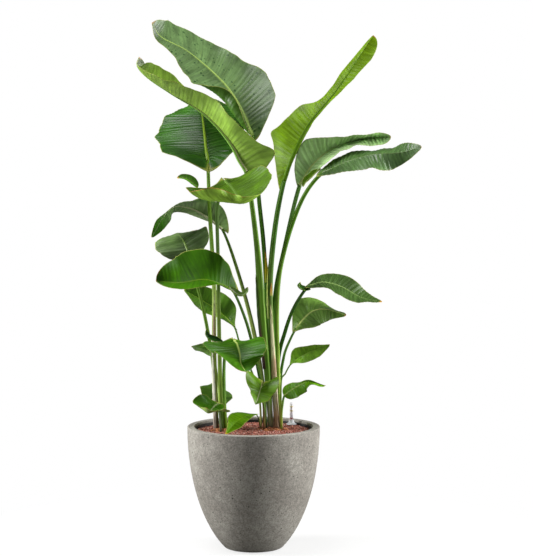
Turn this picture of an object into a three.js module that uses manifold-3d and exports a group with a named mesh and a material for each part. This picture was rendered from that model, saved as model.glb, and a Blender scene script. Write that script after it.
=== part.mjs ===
// A potted bird of paradise: two clumps of long leaf stalks with paddle-shaped blades, rooted in
// clay pellets under a layer of lava granulate, in a plastic liner inside an egg-shaped concrete
// planter, with a water gauge at the back right. Millimetres, Z up. The origin is the middle of
// the planter's flat underside, and -Y is the side the plant is seen from.
import * as THREE from "three";
import { mergeVertices } from "three/addons/utils/BufferGeometryUtils.js";
import Module from "manifold-3d";

// Planter, liner and fillings
const HEIGHT = 342; // planter, underside to rim
const RIM_RADIUS = 185;
const OUTER_DROP = 378; // depth of the ellipse that the outside follows
const INNER_RADIUS = 165;
const INNER_DROP = 370;
const FLOOR = 18; // thickness of the planter's floor
const LINER_TOP = 336;
const LINER_GAP = 0.8; // planter wall to liner
const LINER_WALL = 2.7;
const FILL_GAP = 0.6; // liner to clay and lava
const CLAY_TOP = 299.7;
const LAVA_BOTTOM = 300.2;
const LAVA_TOP = 330;
const TURN = 40; // facets round the planter
const CLEARANCE = 0.35; // round each stalk and the gauge where they pass through a filling
const ROOTS = [
  { name: "root_ball_left", at: [-90, 12], radius: 42 },
  { name: "root_ball_right", at: [54, 38], radius: 58 },
];
// Water gauge
const GAUGE = [107, 98];
const SLEEVE_RADIUS = 8.2;
const SLEEVE_BORE = 6.6;
const SLEEVE_BOTTOM = 243;
const FLANGE_RADIUS = 14.5;
const HEAD_RADIUS = 4.75;
const HEAD_BORE = 3.5;
const HEAD_TOP = 394;
// Foliage
const BLADE_THICKNESS = 1.2;
const SWEEP = 0.12; // how far a margin lies ahead of its place on the rib, as a share of the width
const LOBE_REACH = 0.35; // share of the rib along which the lobes sweep back past the foot
const STALK_SIDES = 8;
const STALK_END_GAP = 0.6; // top of a stalk to the foot of its blade
const GREENS = { fresh: 0x6d9a1c, leaf: 0x3f7a1e, deep: 0x2c5a1c, grey: 0x56754a };

// One entry a leaf. rib: the midrib from foot to tip. face: the way the upper side looks at the
// foot. right and left: for each half blade, at five stations from foot to tip, its width, the
// angle at which it opens from the rib, and how far it curls on its way to the margin. lobe: how
// far the margin sweeps back past the foot. roundFoot and roundTip: the share of the rib over
// which each end is rounded off (small is blunt). stalk and radii: the leaf stalk from the roots
// up, and its radius along the way.
const LEAVES = [
  {
    name: "upper_left",
    green: "grey",
    rib: [
      [-2, 68, 1150], [-37, 82, 1231], [-92, 96, 1306], [-184, 100, 1386], [-259, 86, 1426],
      [-283, 72, 1465],
    ],
    face: [0, -1, 0.2],
    right: {
      width: [70, 114, 106, 124, 130],
      open: [40, -15, -44, -60, -20],
      curl: [-20, 0, 10, 10, 10],
    },
    left: { width: [55, 98, 84, 42, 26], open: [0, 0, 5, 20, 30], curl: [140, 165, 62, 10, 0] },
    lobe: 0.12,
    roundFoot: 0.16,
    stalk: [[49, 52, 300], [40, 54, 606], [29, 56, 831], [15, 60, 971], [-2, 68, 1150]],
    radii: [6.5, 6.5, 6.2, 6, 5.5],
  },
  {
    name: "long_left",
    green: "fresh",
    rib: [
      [-21, 5, 1052], [-62, -14, 1132], [-133, -32, 1209], [-222, -50, 1263], [-287, -60, 1305],
      [-316, -60, 1337], [-311, -58, 1363],
    ],
    face: [0.75, -0.1, 0.65],
    right: { width: [50, 50, 45, 70, 85], open: [60, 38, 30, 30, 35], curl: 0 },
    left: { width: [150, 120, 85, 80, 70], open: [80, 20, 30, 15, 10], curl: [0, 20, 20, 20, 0] },
    roundTip: 0.2,
    stalk: [[51, 36, 300], [38, 28, 482], [24, 24, 637], [9, 18, 847], [-21, 5, 1052]],
    radii: [7.5, 8.8, 11, 7.5, 6],
  },
  {
    name: "broad_back",
    green: "deep",
    rib: [
      [-128, 50, 1079], [-134, 90, 1116], [-142, 148, 1173], [-150, 218, 1217], [-158, 300, 1251],
    ],
    face: [0, 1, 0.1],
    right: { width: [120, 128, 132, 100, 95], open: [-40, -5, 0, -10, -5], curl: 10 },
    left: { width: [50, 95, 125, 110, 110], open: [0, 5, 10, 10, -15], curl: 10 },
    lobe: 0.35,
    roundFoot: 0.12,
    stalk: [[-103, 14, 300], [-110, 12, 554], [-110, 12, 730], [-122, 20, 940], [-128, 50, 1079]],
    radii: [6.5, 6.2, 6, 5.6, 4.8],
  },
  {
    name: "cup_front",
    green: "leaf",
    rib: [[-75, -35, 1025], [-61, -80, 1013], [-41, -140, 987], [-25, -193, 968], [-26, -227, 986]],
    face: [-0.1, -0.2, 1],
    right: {
      width: [30, 140, 145, 115, 60],
      open: [-35, -29, -24, -4, 20],
      curl: [20, 80, 80, 80, 60],
    },
    left: { width: [30, 96, 108, 100, 72], open: [-10, 18, 18, 18, -15], curl: 30 },
    stalk: [[-89, 6, 300], [-95, 2, 555], [-98, -6, 793], [-99, -14, 959], [-75, -35, 1025]],
    radii: [6, 6, 5.4, 5, 5],
  },
  {
    name: "folded_left",
    green: "deep",
    rib: [[-175, 32, 793], [-184, 30, 829], [-196, 48, 856], [-208, 84, 869], [-218, 118, 876]],
    face: [0, 1, 0.3],
    right: { width: [80, 70, 80, 70, 70], open: [80, 0, -10, -20, -10], curl: 0 },
    left: { width: [75, 65, 75, 65, 75], open: [70, 30, 5, 15, 30], curl: 0 },
    lobe: 0.4,
    stalk: [[-102, 28, 300], [-112, 27, 496], [-128, 28, 603], [-147, 30, 692], [-175, 32, 793]],
    radii: [5, 5, 5, 4.6, 4],
  },
  {
    name: "large_left",
    green: "leaf",
    rib: [[-59, -30, 726], [-94, -60, 745], [-137, -80, 757], [-200, -88, 749], [-266, -82, 754]],
    face: [0, -0.85, 0.5],
    right: {
      width: [90, 75, 90, 78, 90],
      open: [-15, 20, -10, -5, 50],
      curl: [20, 20, 20, 20, 10],
    },
    left: {
      width: [20, 44, 44, 44, 20],
      open: [50, 60, 45, 50, 20],
      curl: [-10, -10, -10, -10, -10],
    },
    stalk: [[40, 17, 300], [22, 18, 447], [-3, 8, 569], [-26, -10, 651], [-59, -30, 726]],
    radii: [4.5, 4.5, 4.5, 4.2, 3.4],
  },
  {
    name: "drooping_front",
    green: "leaf",
    rib: [[-53, -28, 586], [-43, -50, 572], [-37, -68, 549], [-34, -82, 526], [-20, -88, 503]],
    face: [0, -0.7, 0.7],
    right: {
      width: [60, 130, 85, 125, 110],
      open: [-15, 10, 20, 60, 75],
      curl: [50, 50, 20, 10, 10],
    },
    left: { width: [60, 75, 85, 80, 85], open: [-40, 15, 30, 30, -35], curl: [10, 10, 10, 10, 10] },
    lobe: 0.1,
    stalk: [[-76, 12, 300], [-82, 12, 413], [-82, 12, 520], [-73, 0, 561], [-53, -28, 586]],
    radii: [5.5, 5.2, 4.8, 4.2, 3.6],
  },
  {
    name: "arching_left",
    green: "grey",
    rib: [[-89, 85, 888], [-129, 84, 921], [-179, 76, 948], [-234, 58, 946], [-285, 34, 868]],
    face: [0, 0.8, 0.6],
    right: { width: [34, 34, 34, 42, 44], open: [60, 30, 20, 0, 5], curl: 0 },
    left: { width: [65, 70, 70, 65, 15], open: [60, -10, -40, -30, 15], curl: 0 },
    stalk: [[34, 33, 300], [26, 33, 450], [-2, 44, 612], [-46, 68, 774], [-89, 85, 888]],
    radii: [5.5, 5.8, 6, 5, 3.6],
  },
  {
    name: "middle_back",
    green: "leaf",
    rib: [[-56, 85, 613], [-93, 88, 651], [-124, 92, 672], [-158, 92, 693], [-197, 88, 716]],
    face: [0, -0.9, 0.4],
    right: { width: [50, 50, 46, 38, 48], open: [-85, 20, 15, 15, 20], curl: 0 },
    left: { width: [34, 34, 34, 34, 32], open: [80, 50, 30, 40, 55], curl: 0 },
    stalk: [[22, 40, 300], [15, 46, 423], [-10, 58, 498], [-39, 76, 564], [-56, 85, 613]],
    radii: [3, 3, 2.8, 2.6, 2.4],
  },
  {
    name: "small_left",
    green: "deep",
    rib: [[-115, 66, 548], [-129, 62, 551], [-143, 54, 555], [-159, 42, 559], [-174, 30, 562]],
    face: [0, 0.5, 0.8],
    right: { width: [48, 22, 26, 16, 10], open: [-50, -10, 5, 10, 5], curl: 0 },
    left: { width: [34, 22, 22, 16, 12], open: [85, 30, 15, 10, 5], curl: 0 },
    stalk: [[-87, 23, 300], [-102, 50, 465], [-115, 66, 548]],
    radii: [3, 2.8, 2.4],
  },
  {
    name: "low_back",
    green: "deep",
    rib: [[-95, 62, 384], [-99, 78, 407], [-103, 94, 428], [-111, 112, 443], [-120, 130, 446]],
    face: [0, 1, -0.2],
    right: { width: [36, 48, 50, 44, 12], open: [-60, -30, -25, -20, -5], curl: 0 },
    left: { width: [36, 42, 54, 62, 62], open: [-40, 25, 45, 55, 45], curl: 0 },
    lobe: 0.1,
    stalk: [[-74, 28, 300], [-88, 42, 350], [-95, 62, 384]],
    radii: [3, 2.8, 2.4],
  },
  {
    name: "low_left",
    green: "deep",
    rib: [
      [-100, -26, 407], [-108, -50, 405], [-116, -78, 398], [-124, -100, 392], [-127, -117, 409],
    ],
    face: [-0.1, -0.25, 1],
    right: { width: [34, 48, 56, 38, 20], open: [15, 40, 20, 25, 20], curl: [20, 20, 20, 20, 20] },
    left: {
      width: [50, 30, 56, 45, 10],
      open: [-20, -30, -10, 10, -30],
      curl: [20, 20, 20, 20, 20],
    },
    stalk: [[-90, -13, 300], [-93, -18, 364], [-100, -26, 407]],
    radii: [3, 2.8, 2.4],
  },
  {
    name: "rim_front",
    green: "fresh",
    rib: [[7, 10, 373], [-13, -20, 375], [-37, -58, 370], [-58, -98, 356], [-76, -135, 340]],
    face: [0, -0.6, 0.8],
    right: { width: [52, 28, 28, 20, 8], open: [-25, -5, 10, 40, 65], curl: 0 },
    left: { width: [6, 16, 22, 22, 14], open: [10, 10, 10, 10, 10], curl: 0 },
    stalk: [[22, 27, 300], [16, 20, 349], [7, 10, 373]],
    radii: [1.8, 1.7, 1.6],
  },
  {
    name: "heart_front",
    green: "leaf",
    rib: [[22, -30, 455], [19, -52, 450], [14, -70, 437], [10, -82, 425], [6, -90, 415]],
    face: [0, -0.7, 0.7],
    right: { width: [42, 70, 32, 24, 14], open: [50, 55, 35, 45, 50], curl: 0 },
    left: { width: [34, 70, 38, 30, 12], open: [35, 45, 10, 0, 15], curl: 0 },
    lobe: 0.6,
    stalk: [[30, 12, 300], [28, -6, 402], [22, -30, 455]],
    radii: [3.5, 3.6, 3.4],
  },
  {
    name: "tall_right",
    green: "fresh",
    rib: [[85, 55, 1024], [112, 62, 1099], [158, 72, 1186], [239, 78, 1286], [334, 62, 1429]],
    face: [0, 1, 0],
    right: { width: [95, 95, 28, 27, 26], open: [65, 30, 30, 30, 40], curl: [0, 0, 20, 30, 30] },
    left: { width: [40, 26, 18, 34, 92], open: [75, 72, 62, 35, 10], curl: [0, 0, 20, 20, 20] },
    stalk: [[66, 30, 300], [56, 36, 495], [46, 40, 720], [60, 48, 893], [85, 55, 1024]],
    radii: [7, 7.4, 7.6, 7.4, 6.4],
  },
  {
    name: "broad_right",
    green: "grey",
    rib: [[130, 95, 1012], [164, 105, 1065], [221, 115, 1113], [300, 118, 1140], [387, 105, 1148]],
    face: [0, -0.9, 0.4],
    right: { width: [45, 66, 70, 65, 60], open: [50, 55, 60, 55, 15], curl: 0 },
    left: { width: [55, 72, 45, 60, 40], open: [30, 30, 75, 95, 60], curl: 0 },
    lobe: 0.1,
    stalk: [[66, 47, 300], [59, 57, 492], [60, 64, 690], [88, 78, 844], [130, 95, 1012]],
    radii: [6.5, 7, 7.2, 5.6, 6],
  },
  {
    name: "outer_right",
    green: "grey",
    rib: [[191, 45, 1046], [254, 35, 1076], [329, 22, 1098], [405, 8, 1103], [464, -5, 1119]],
    face: [0, -0.7, 0.7],
    right: { width: [60, 55, 60, 40, 30], open: [30, 15, 10, -40, -10], curl: 0 },
    left: { width: [60, 45, 60, 60, 35], open: [-20, -15, -40, -25, 20], curl: 0 },
    stalk: [
      [79, 40, 300], [69, 44, 494], [67, 46, 705], [88, 54, 837], [135, 50, 971], [191, 45, 1046],
    ],
    radii: [5.5, 5.5, 5.5, 6, 6, 5],
  },
  {
    name: "arching_right",
    green: "grey",
    rib: [[156, 80, 728], [196, 90, 738], [247, 95, 725], [303, 88, 695], [362, 76, 683]],
    face: [0, -0.6, 0.8],
    right: { width: [54, 54, 54, 54, 52], open: [25, 15, 10, 20, 25], curl: 0 },
    left: { width: [38, 40, 40, 34, 32], open: [-30, 5, 20, 5, -15], curl: 0 },
    stalk: [[64, 63, 300], [68, 70, 505], [89, 62, 602], [116, 62, 673], [156, 80, 728]],
    radii: [5, 5.4, 5.6, 5, 4],
  },
  {
    name: "middle_right",
    green: "deep",
    rib: [[120, 98, 606], [140, 103, 631], [168, 104, 655], [207, 98, 660], [261, 88, 644]],
    face: [0, -0.9, 0.4],
    right: { width: [46, 46, 42, 34, 26], open: [60, 0, 5, 25, 40], curl: 0 },
    left: { width: [36, 50, 50, 32, 48], open: [-45, 5, -55, -75, -65], curl: 0 },
    stalk: [[78, 56, 300], [75, 64, 449], [85, 78, 527], [100, 90, 568], [120, 98, 606]],
    radii: [4.5, 4.4, 4.2, 3.8, 3],
  },
  {
    name: "small_right",
    green: "leaf",
    rib: [[103, 20, 512], [121, 8, 529], [149, -4, 547], [179, -14, 560], [211, -22, 573]],
    face: [0, -0.9, 0.4],
    right: { width: [6, 24, 24, 20, 16], open: [70, 40, 5, -5, -15], curl: 0 },
    left: { width: [24, 30, 24, 20, 10], open: [-30, 25, 45, 60, 70], curl: 0 },
    lobe: 0.1,
    stalk: [[79, 27, 300], [77, 24, 457], [88, 22, 485], [103, 20, 512]],
    radii: [2.5, 2.4, 2.2, 2],
  },
  {
    name: "low_right",
    green: "leaf",
    rib: [[86, -5, 428], [101, -20, 443], [126, -35, 460], [153, -45, 472], [199, -58, 463]],
    face: [0, -0.9, 0.5],
    right: { width: [38, 30, 28, 44, 44], open: [-15, 5, 10, 70, 60], curl: 0 },
    left: { width: [42, 20, 6, 6, 6], open: [20, -5, 5, 65, 100], curl: 0 },
    lobe: 0.05,
    stalk: [[77, 16, 300], [78, 10, 371], [81, 2, 403], [86, -5, 428]],
    radii: [3, 3.2, 3.2, 3],
  },
];

// Dry and yellowing sheath strips that still clasp a stalk: the stalk they clasp, the stretch
// of height, the way they face (degrees from -Y towards +X) and half the angle they wrap.
const SHEATHS = [
  {
    name: "sheath_dry_left", on: "broad_back", color: 0x7d6d5a,
    from: 332, to: 566, facing: -40, wrap: 75,
  },
  {
    name: "sheath_cream_right", on: "tall_right", color: 0xc9b98a,
    from: 332, to: 690, facing: 10, wrap: 68,
  },
  {
    name: "sheath_yellow_tip", on: "upper_left", color: 0xb48a2c,
    from: 740, to: 830, facing: 30, wrap: 52,
  },
  {
    name: "sheath_orange_tip", on: "tall_right", color: 0xb4742c,
    from: 704, to: 742, facing: 20, wrap: 26,
  },
  {
    name: "sheath_dark_left", on: "long_left", color: 0x33500f,
    from: 500, to: 770, facing: -62, wrap: 46,
  },
];
const SHEATH_OFFSET = 1.7; // stalk surface to the middle of the strip
const SHEATH_THICKNESS = 0.8;

const { Manifold, Mesh } = await Module().then((wasm) => {
  wasm.setup();
  return wasm;
});

function solidOf(geometry) {
  const g = geometry.clone();
  g.deleteAttribute("normal");
  g.deleteAttribute("uv");
  const merged = mergeVertices(g, 1e-4);
  return new Manifold(
    new Mesh({
      numProp: 3,
      vertProperties: new Float32Array(merged.attributes.position.array),
      triVerts: new Uint32Array(merged.index.array),
    }),
  );
}

function geometryOf(solid) {
  const mesh = solid.getMesh();
  const g = new THREE.BufferGeometry();
  g.setAttribute("position", new THREE.BufferAttribute(mesh.vertProperties, 3));
  g.setIndex(new THREE.BufferAttribute(mesh.triVerts, 1));
  g.computeVertexNormals();
  return g;
}

const plant = new THREE.Group();

function add(name, geometry, color, roughness, metalness = 0, options = {}) {
  const material = new THREE.MeshStandardMaterial({ color, roughness, metalness, ...options });
  const mesh = new THREE.Mesh(geometry, material);
  mesh.name = name;
  plant.add(mesh);
  return mesh;
}

// A body of revolution about Z. The profile is a list of [radius, height].
function turned(profile, segments = TURN) {
  const points = profile.map(([r, z]) => new THREE.Vector2(r, z));
  return new THREE.LatheGeometry(points, segments).rotateX(Math.PI / 2);
}

function steps(from, to, count) {
  return Array.from({ length: count + 1 }, (_, i) => from + ((to - from) * i) / count);
}

// ---- Planter, liner, fillings and roots

const outside = (z) => RIM_RADIUS * Math.sqrt(1 - ((HEIGHT - z) / OUTER_DROP) ** 2);
const inside = (z) => INNER_RADIUS * Math.sqrt(1 - ((HEIGHT - z) / INNER_DROP) ** 2);
const linerOuter = (z) => inside(z) - LINER_GAP;
const linerInner = (z) => linerOuter(z) - LINER_WALL;
const fillRadius = (z) => linerInner(z) - FILL_GAP;
const LEVELS = [26, 45, 75, 115, 165, 230, 300.2];

const planterProfile = [[0, 0], [72, 0], [79, 1.8], [84, 6]];
planterProfile.push(...steps(12, HEIGHT - 4, 9).map((z) => [outside(z), z]));
planterProfile.push([RIM_RADIUS - 0.6, HEIGHT - 1], [RIM_RADIUS - 1.8, HEIGHT]);
planterProfile.push([INNER_RADIUS + 1.5, HEIGHT], [INNER_RADIUS, HEIGHT - 1.5]);
planterProfile.push(...LEVELS.toReversed().map((z) => [inside(z), z]));
planterProfile.push([inside(FLOOR) - 4, FLOOR], [0, FLOOR]);
add("planter", turned(planterProfile), 0x8d877d, 0.85);

const linerFloor = FLOOR + LINER_GAP;
const linerProfile = [[0, linerFloor], [inside(FLOOR) - 6, linerFloor]];
linerProfile.push(...LEVELS.map((z) => [linerOuter(z), z]), [linerOuter(LINER_TOP), LINER_TOP]);
linerProfile.push([linerInner(LINER_TOP), LINER_TOP]);
linerProfile.push(...LEVELS.toReversed().map((z) => [linerInner(z), z + 0.4]));
linerProfile.push([inside(FLOOR) - 10, linerFloor + LINER_WALL], [0, linerFloor + LINER_WALL]);
add("liner", turned(linerProfile), 0x1c1b1a, 0.6);

const cylinder = (radius, bottom, top) => [[0, bottom], [radius, bottom], [radius, top], [0, top]];

function gaugeCutter(bottom) {
  const profile = cylinder(SLEEVE_RADIUS + CLEARANCE, bottom, HEIGHT);
  return solidOf(turned(profile, 20).translate(...GAUGE, 0));
}

// A root ball is the roots and the pellets they hold together, as one body.
function rootBall(root, grow) {
  const r = root.radius + grow;
  const profile = [[0, 150 - grow], [r * 0.7, 150 - grow], [r, 190], [r, CLAY_TOP + 2 * grow]];
  profile.push([0, CLAY_TOP + 2 * grow]);
  return turned(profile, 20).translate(...root.at, 0);
}

const clayBottom = linerFloor + LINER_WALL + FILL_GAP;
const clayProfile = [[0, clayBottom], [inside(FLOOR) - 13, clayBottom]];
clayProfile.push(...LEVELS.slice(0, -1).map((z) => [fillRadius(z), z + 0.8]));
clayProfile.push([fillRadius(LEVELS.at(-1)), CLAY_TOP], [0, CLAY_TOP]);
let clay = solidOf(turned(clayProfile)).subtract(gaugeCutter(SLEEVE_BOTTOM - 1));
for (const root of ROOTS) {
  clay = clay.subtract(solidOf(rootBall(root, 0.4)));
  add(root.name, rootBall(root, 0), 0x7a4d34, 0.95);
}
add("clay_pellets", geometryOf(clay), 0x9a5a3a, 0.95);

// ---- Leaves

const v3 = (p) => new THREE.Vector3(...p);
const smooth = (points) => new THREE.CatmullRomCurve3(points.map(v3), false, "catmullrom", 0.5);

// A Catmull-Rom curve through a list of numbers, at t from 0 to 1.
function along(list, t) {
  if (typeof list === "number") {
    return list;
  }
  const curve = smooth(list.map((value) => [value, 0, 0]));
  return curve.getPoint(Math.min(Math.max(t, 0), 1)).x;
}

// Point, tangent, sideways and upper-side directions at any station of a rib, carried from its
// foot without twisting.
function framesAlong(points, face) {
  const curve = smooth(points);
  const count = 60;
  const tangents = steps(0, 1, count).map((u) => curve.getTangentAt(u));
  const sides = [tangents[0].clone().cross(face).normalize()];
  for (let i = 1; i <= count; i++) {
    const side = sides[i - 1].clone();
    sides.push(side.addScaledVector(tangents[i], -side.dot(tangents[i])).normalize());
  }
  return (u) => {
    const i = Math.min(Math.floor(u * count), count - 1);
    const tangent = tangents[i].clone().lerp(tangents[i + 1], u * count - i).normalize();
    const side = sides[i].clone().lerp(sides[i + 1], u * count - i);
    side.addScaledVector(tangent, -side.dot(tangent)).normalize();
    return { point: curve.getPointAt(u), tangent, side, up: side.clone().cross(tangent) };
  };
}

// How wide a half blade is at u: its widths from foot to tip, rounded off towards both ends.
function halfWidth(leaf, half, u) {
  const { roundFoot = 0.3, roundTip = 0.3 } = leaf;
  const foot = Math.min(Math.max(u, 0) / roundFoot, 1) ** 0.5;
  const tip = Math.min(Math.max(1 - u, 0) / roundTip, 1) ** 0.6;
  return along(half.width, u) * foot * tip + 1;
}

// The blade's middle surface: u runs from foot to tip, s from -1 (left margin) to 1 (right).
// Each half leaves the rib at its opening angle and bends by its curl along an arc.
function bladeSurface(leaf) {
  const frame = framesAlong(leaf.rib, v3(leaf.face));
  const { lobe = 0.3 } = leaf;
  return (u, s) => {
    const { point, tangent, side, up } = frame(u);
    const half = s < 0 ? leaf.left : leaf.right;
    const v = Math.abs(s);
    const width = halfWidth(leaf, half, u);
    const open = THREE.MathUtils.degToRad(along(half.open, u));
    const turn = THREE.MathUtils.degToRad(along(half.curl, u));
    const curl = Math.abs(turn) < 1e-3 ? 1e-3 : turn;
    const out = (width * (Math.sin(open + curl * v) - Math.sin(open))) / curl;
    const rise = (width * (Math.cos(open) - Math.cos(open + curl * v))) / curl;
    const widest = Math.max(...half.width);
    const back = lobe * widest * Math.max(1 - u / LOBE_REACH, 0) ** 2 * v ** 3;
    return point
      .addScaledVector(side, Math.sign(s) * out)
      .addScaledVector(up, rise)
      .addScaledVector(tangent, SWEEP * width * v * v - back);
  };
}

// A closed sheet: the surface at each (rows x columns) station, moved half a thickness each way
// along its normal, with the four edges joined.
function sheet(surface, rows, columns, thickness, extraBelow = () => 0) {
  const grid = { top: [], bottom: [] };
  for (const u of rows) {
    for (const s of columns) {
      const [u0, u1] = [Math.max(u - 0.01, 0.001), Math.min(u + 0.01, 0.999)];
      const alongU = surface(u1, s).sub(surface(u0, s));
      const alongS = surface(u, s + 0.01).sub(surface(u, s - 0.01));
      const normal = alongS.cross(alongU).normalize();
      const middle = surface(u, s);
      grid.top.push(middle.clone().addScaledVector(normal, thickness / 2));
      grid.bottom.push(middle.addScaledVector(normal, -thickness / 2 - extraBelow(u, s)));
    }
  }
  const n = columns.length;
  const size = rows.length * n;
  const faces = [];
  const quad = (a, b, c, d) => faces.push(a, b, c, a, c, d);
  for (let i = 0; i < rows.length - 1; i++) {
    for (let j = 0; j < n - 1; j++) {
      const k = i * n + j;
      quad(k, k + 1, k + n + 1, k + n);
      quad(size + k, size + k + n, size + k + n + 1, size + k + 1);
    }
    const [left, right] = [i * n, i * n + n - 1];
    quad(left, left + n, size + left + n, size + left);
    quad(right, size + right, size + right + n, right + n);
  }
  for (let j = 0; j < n - 1; j++) {
    const last = size - n + j;
    quad(j, size + j, size + j + 1, j + 1);
    quad(last, last + 1, size + last + 1, size + last);
  }
  const g = new THREE.BufferGeometry().setFromPoints([...grid.top, ...grid.bottom]);
  g.setIndex(faces);
  g.computeVertexNormals();
  return g;
}

// A round stalk along a curve, closed at both ends, with a radius given at even stations.
function stalkGeometry(leaf, rings, grow = 0) {
  const frame = framesAlong(leaf.stalk, new THREE.Vector3(0, -1, 0));
  const length = smooth(leaf.stalk).getLength();
  const last = 1 - (STALK_END_GAP - grow) / length;
  const points = [];
  const faces = [];
  steps(0, last, rings).forEach((u, i) => {
    const { point, side, up } = frame(u);
    const radius = along(leaf.radii, u) + grow;
    for (let k = 0; k < STALK_SIDES; k++) {
      const angle = (2 * Math.PI * k) / STALK_SIDES;
      const offset = side.clone().multiplyScalar(radius * Math.cos(angle));
      const ringPoint = point.clone().add(offset.addScaledVector(up, radius * Math.sin(angle)));
      ringPoint.z = i === 0 ? point.z : ringPoint.z; // the foot is cut level
      points.push(ringPoint);
      if (i < rings) {
        const [a, b] = [i * STALK_SIDES + k, i * STALK_SIDES + ((k + 1) % STALK_SIDES)];
        faces.push(a, a + STALK_SIDES, b, b, a + STALK_SIDES, b + STALK_SIDES);
      }
    }
  });
  const top = rings * STALK_SIDES;
  for (let k = 1; k < STALK_SIDES - 1; k++) {
    faces.push(0, k, k + 1, top, top + k + 1, top + k);
  }
  const g = new THREE.BufferGeometry().setFromPoints(points);
  g.setIndex(faces);
  g.computeVertexNormals();
  return g;
}

// Stations from 0 to 1 that crowd towards both ends.
const crowded = (count) => steps(0, 1, count).map((x) => (1 - Math.cos(Math.PI * x)) / 2);

let lava = solidOf(
  turned([
    [0, LAVA_BOTTOM],
    [fillRadius(LAVA_BOTTOM), LAVA_BOTTOM],
    [fillRadius(LAVA_TOP), LAVA_TOP],
    [0, LAVA_TOP],
  ]),
).subtract(gaugeCutter(LAVA_BOTTOM - 5));

for (const leaf of LEAVES) {
  const large = Math.max(...leaf.right.width) + Math.max(...leaf.left.width) > 105;
  const columns = large ? [-1, -0.66, -0.33, 0, 0.33, 0.66, 1] : [-1, -0.5, 0, 0.5, 1];
  const ribDepth = leaf.radii.at(-1);
  const keel = (u, s) => (s === 0 ? ribDepth * (1 - u) ** 1.5 : 0);
  const blade = sheet(bladeSurface(leaf), crowded(large ? 8 : 6), columns, BLADE_THICKNESS, keel);
  const rings = large ? 8 : 6;
  const cutter = solidOf(stalkGeometry(leaf, rings, CLEARANCE));
  const cleared = geometryOf(solidOf(blade).subtract(cutter));
  add("blade_" + leaf.name, cleared, GREENS[leaf.green], 0.45, 0, { side: THREE.DoubleSide });
  add("stalk_" + leaf.name, stalkGeometry(leaf, rings), 0x5d7f33, 0.55);
  lava = lava.subtract(cutter);
}
add("lava_granulate", geometryOf(lava), 0x9c5f50, 0.95);

// ---- Sheath strips

for (const sheath of SHEATHS) {
  const leaf = LEAVES.find((other) => other.name === sheath.on);
  const frame = framesAlong(leaf.stalk, new THREE.Vector3(0, -1, 0));
  const stations = steps(0, 1, 200);
  const at = (height) => stations.find((u) => frame(u).point.z >= height);
  const [from, to] = [at(sheath.from), at(sheath.to)];
  const surface = (u, s) => {
    const { point, side, up } = frame(from + (to - from) * u);
    const taper = Math.sqrt(Math.max(1 - u, 0.02));
    const angle = THREE.MathUtils.degToRad(sheath.facing + sheath.wrap * s * taper);
    const radius = along(leaf.radii, from + (to - from) * u) + SHEATH_OFFSET;
    return point
      .addScaledVector(side, radius * Math.sin(angle))
      .addScaledVector(up, radius * Math.cos(angle));
  };
  const strip = sheet(surface, steps(0, 1, 6), steps(-1, 1, 4), SHEATH_THICKNESS);
  add(sheath.name, strip, sheath.color, 0.8);
}

// ---- Water gauge

function gaugePart(name, profile, color, roughness, options = {}) {
  add(name, turned(profile, 16), color, roughness, 0, options).position.set(...GAUGE, 0);
}

const sleeveTop = LAVA_TOP + 1;
gaugePart(
  "gauge_sleeve",
  [
    [SLEEVE_BORE, SLEEVE_BOTTOM],
    [SLEEVE_RADIUS, SLEEVE_BOTTOM],
    [SLEEVE_RADIUS, sleeveTop],
    [SLEEVE_BORE, sleeveTop],
    [SLEEVE_BORE, SLEEVE_BOTTOM],
  ],
  0x2a2a2c,
  0.5,
);
const flangeTop = 345;
gaugePart(
  "gauge_flange",
  [
    [HEAD_BORE, sleeveTop + 0.4],
    [FLANGE_RADIUS, sleeveTop + 0.4],
    [FLANGE_RADIUS - 0.8, sleeveTop + 3],
    [FLANGE_RADIUS - 5, sleeveTop + 6.5],
    [HEAD_RADIUS + 1.8, flangeTop - 1.5],
    [HEAD_RADIUS + 1, flangeTop],
    [HEAD_BORE, flangeTop],
    [HEAD_BORE, sleeveTop + 0.4],
  ],
  0xa9abae,
  0.5,
);
gaugePart(
  "gauge_head",
  [
    [HEAD_BORE, flangeTop + 0.3],
    [HEAD_RADIUS, flangeTop + 0.3],
    [HEAD_RADIUS, HEAD_TOP - 1.5],
    [HEAD_RADIUS - 1.5, HEAD_TOP],
    [0, HEAD_TOP],
    [0, HEAD_TOP - 1.4],
    [HEAD_BORE, HEAD_TOP - 1.4],
    [HEAD_BORE, flangeTop + 0.3],
  ],
  0xe4e4ec,
  0.15,
  { transparent: true, opacity: 0.5 },
);
gaugePart("gauge_float", cylinder(5.8, 252, 280), 0xf0efe8, 0.5);
gaugePart("gauge_rod", cylinder(1.1, 280.3, 346.5), 0xe8e8e4, 0.5);
gaugePart("gauge_marker", cylinder(1.7, 346.8, 351.5), 0xc0392b, 0.4);
const scale = new THREE.BoxGeometry(3, 0.5, 40).translate(GAUGE[0], GAUGE[1] + 2.5, 368);
add("gauge_scale", scale, 0xf2f0e4, 0.6);

export default plant;
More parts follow.
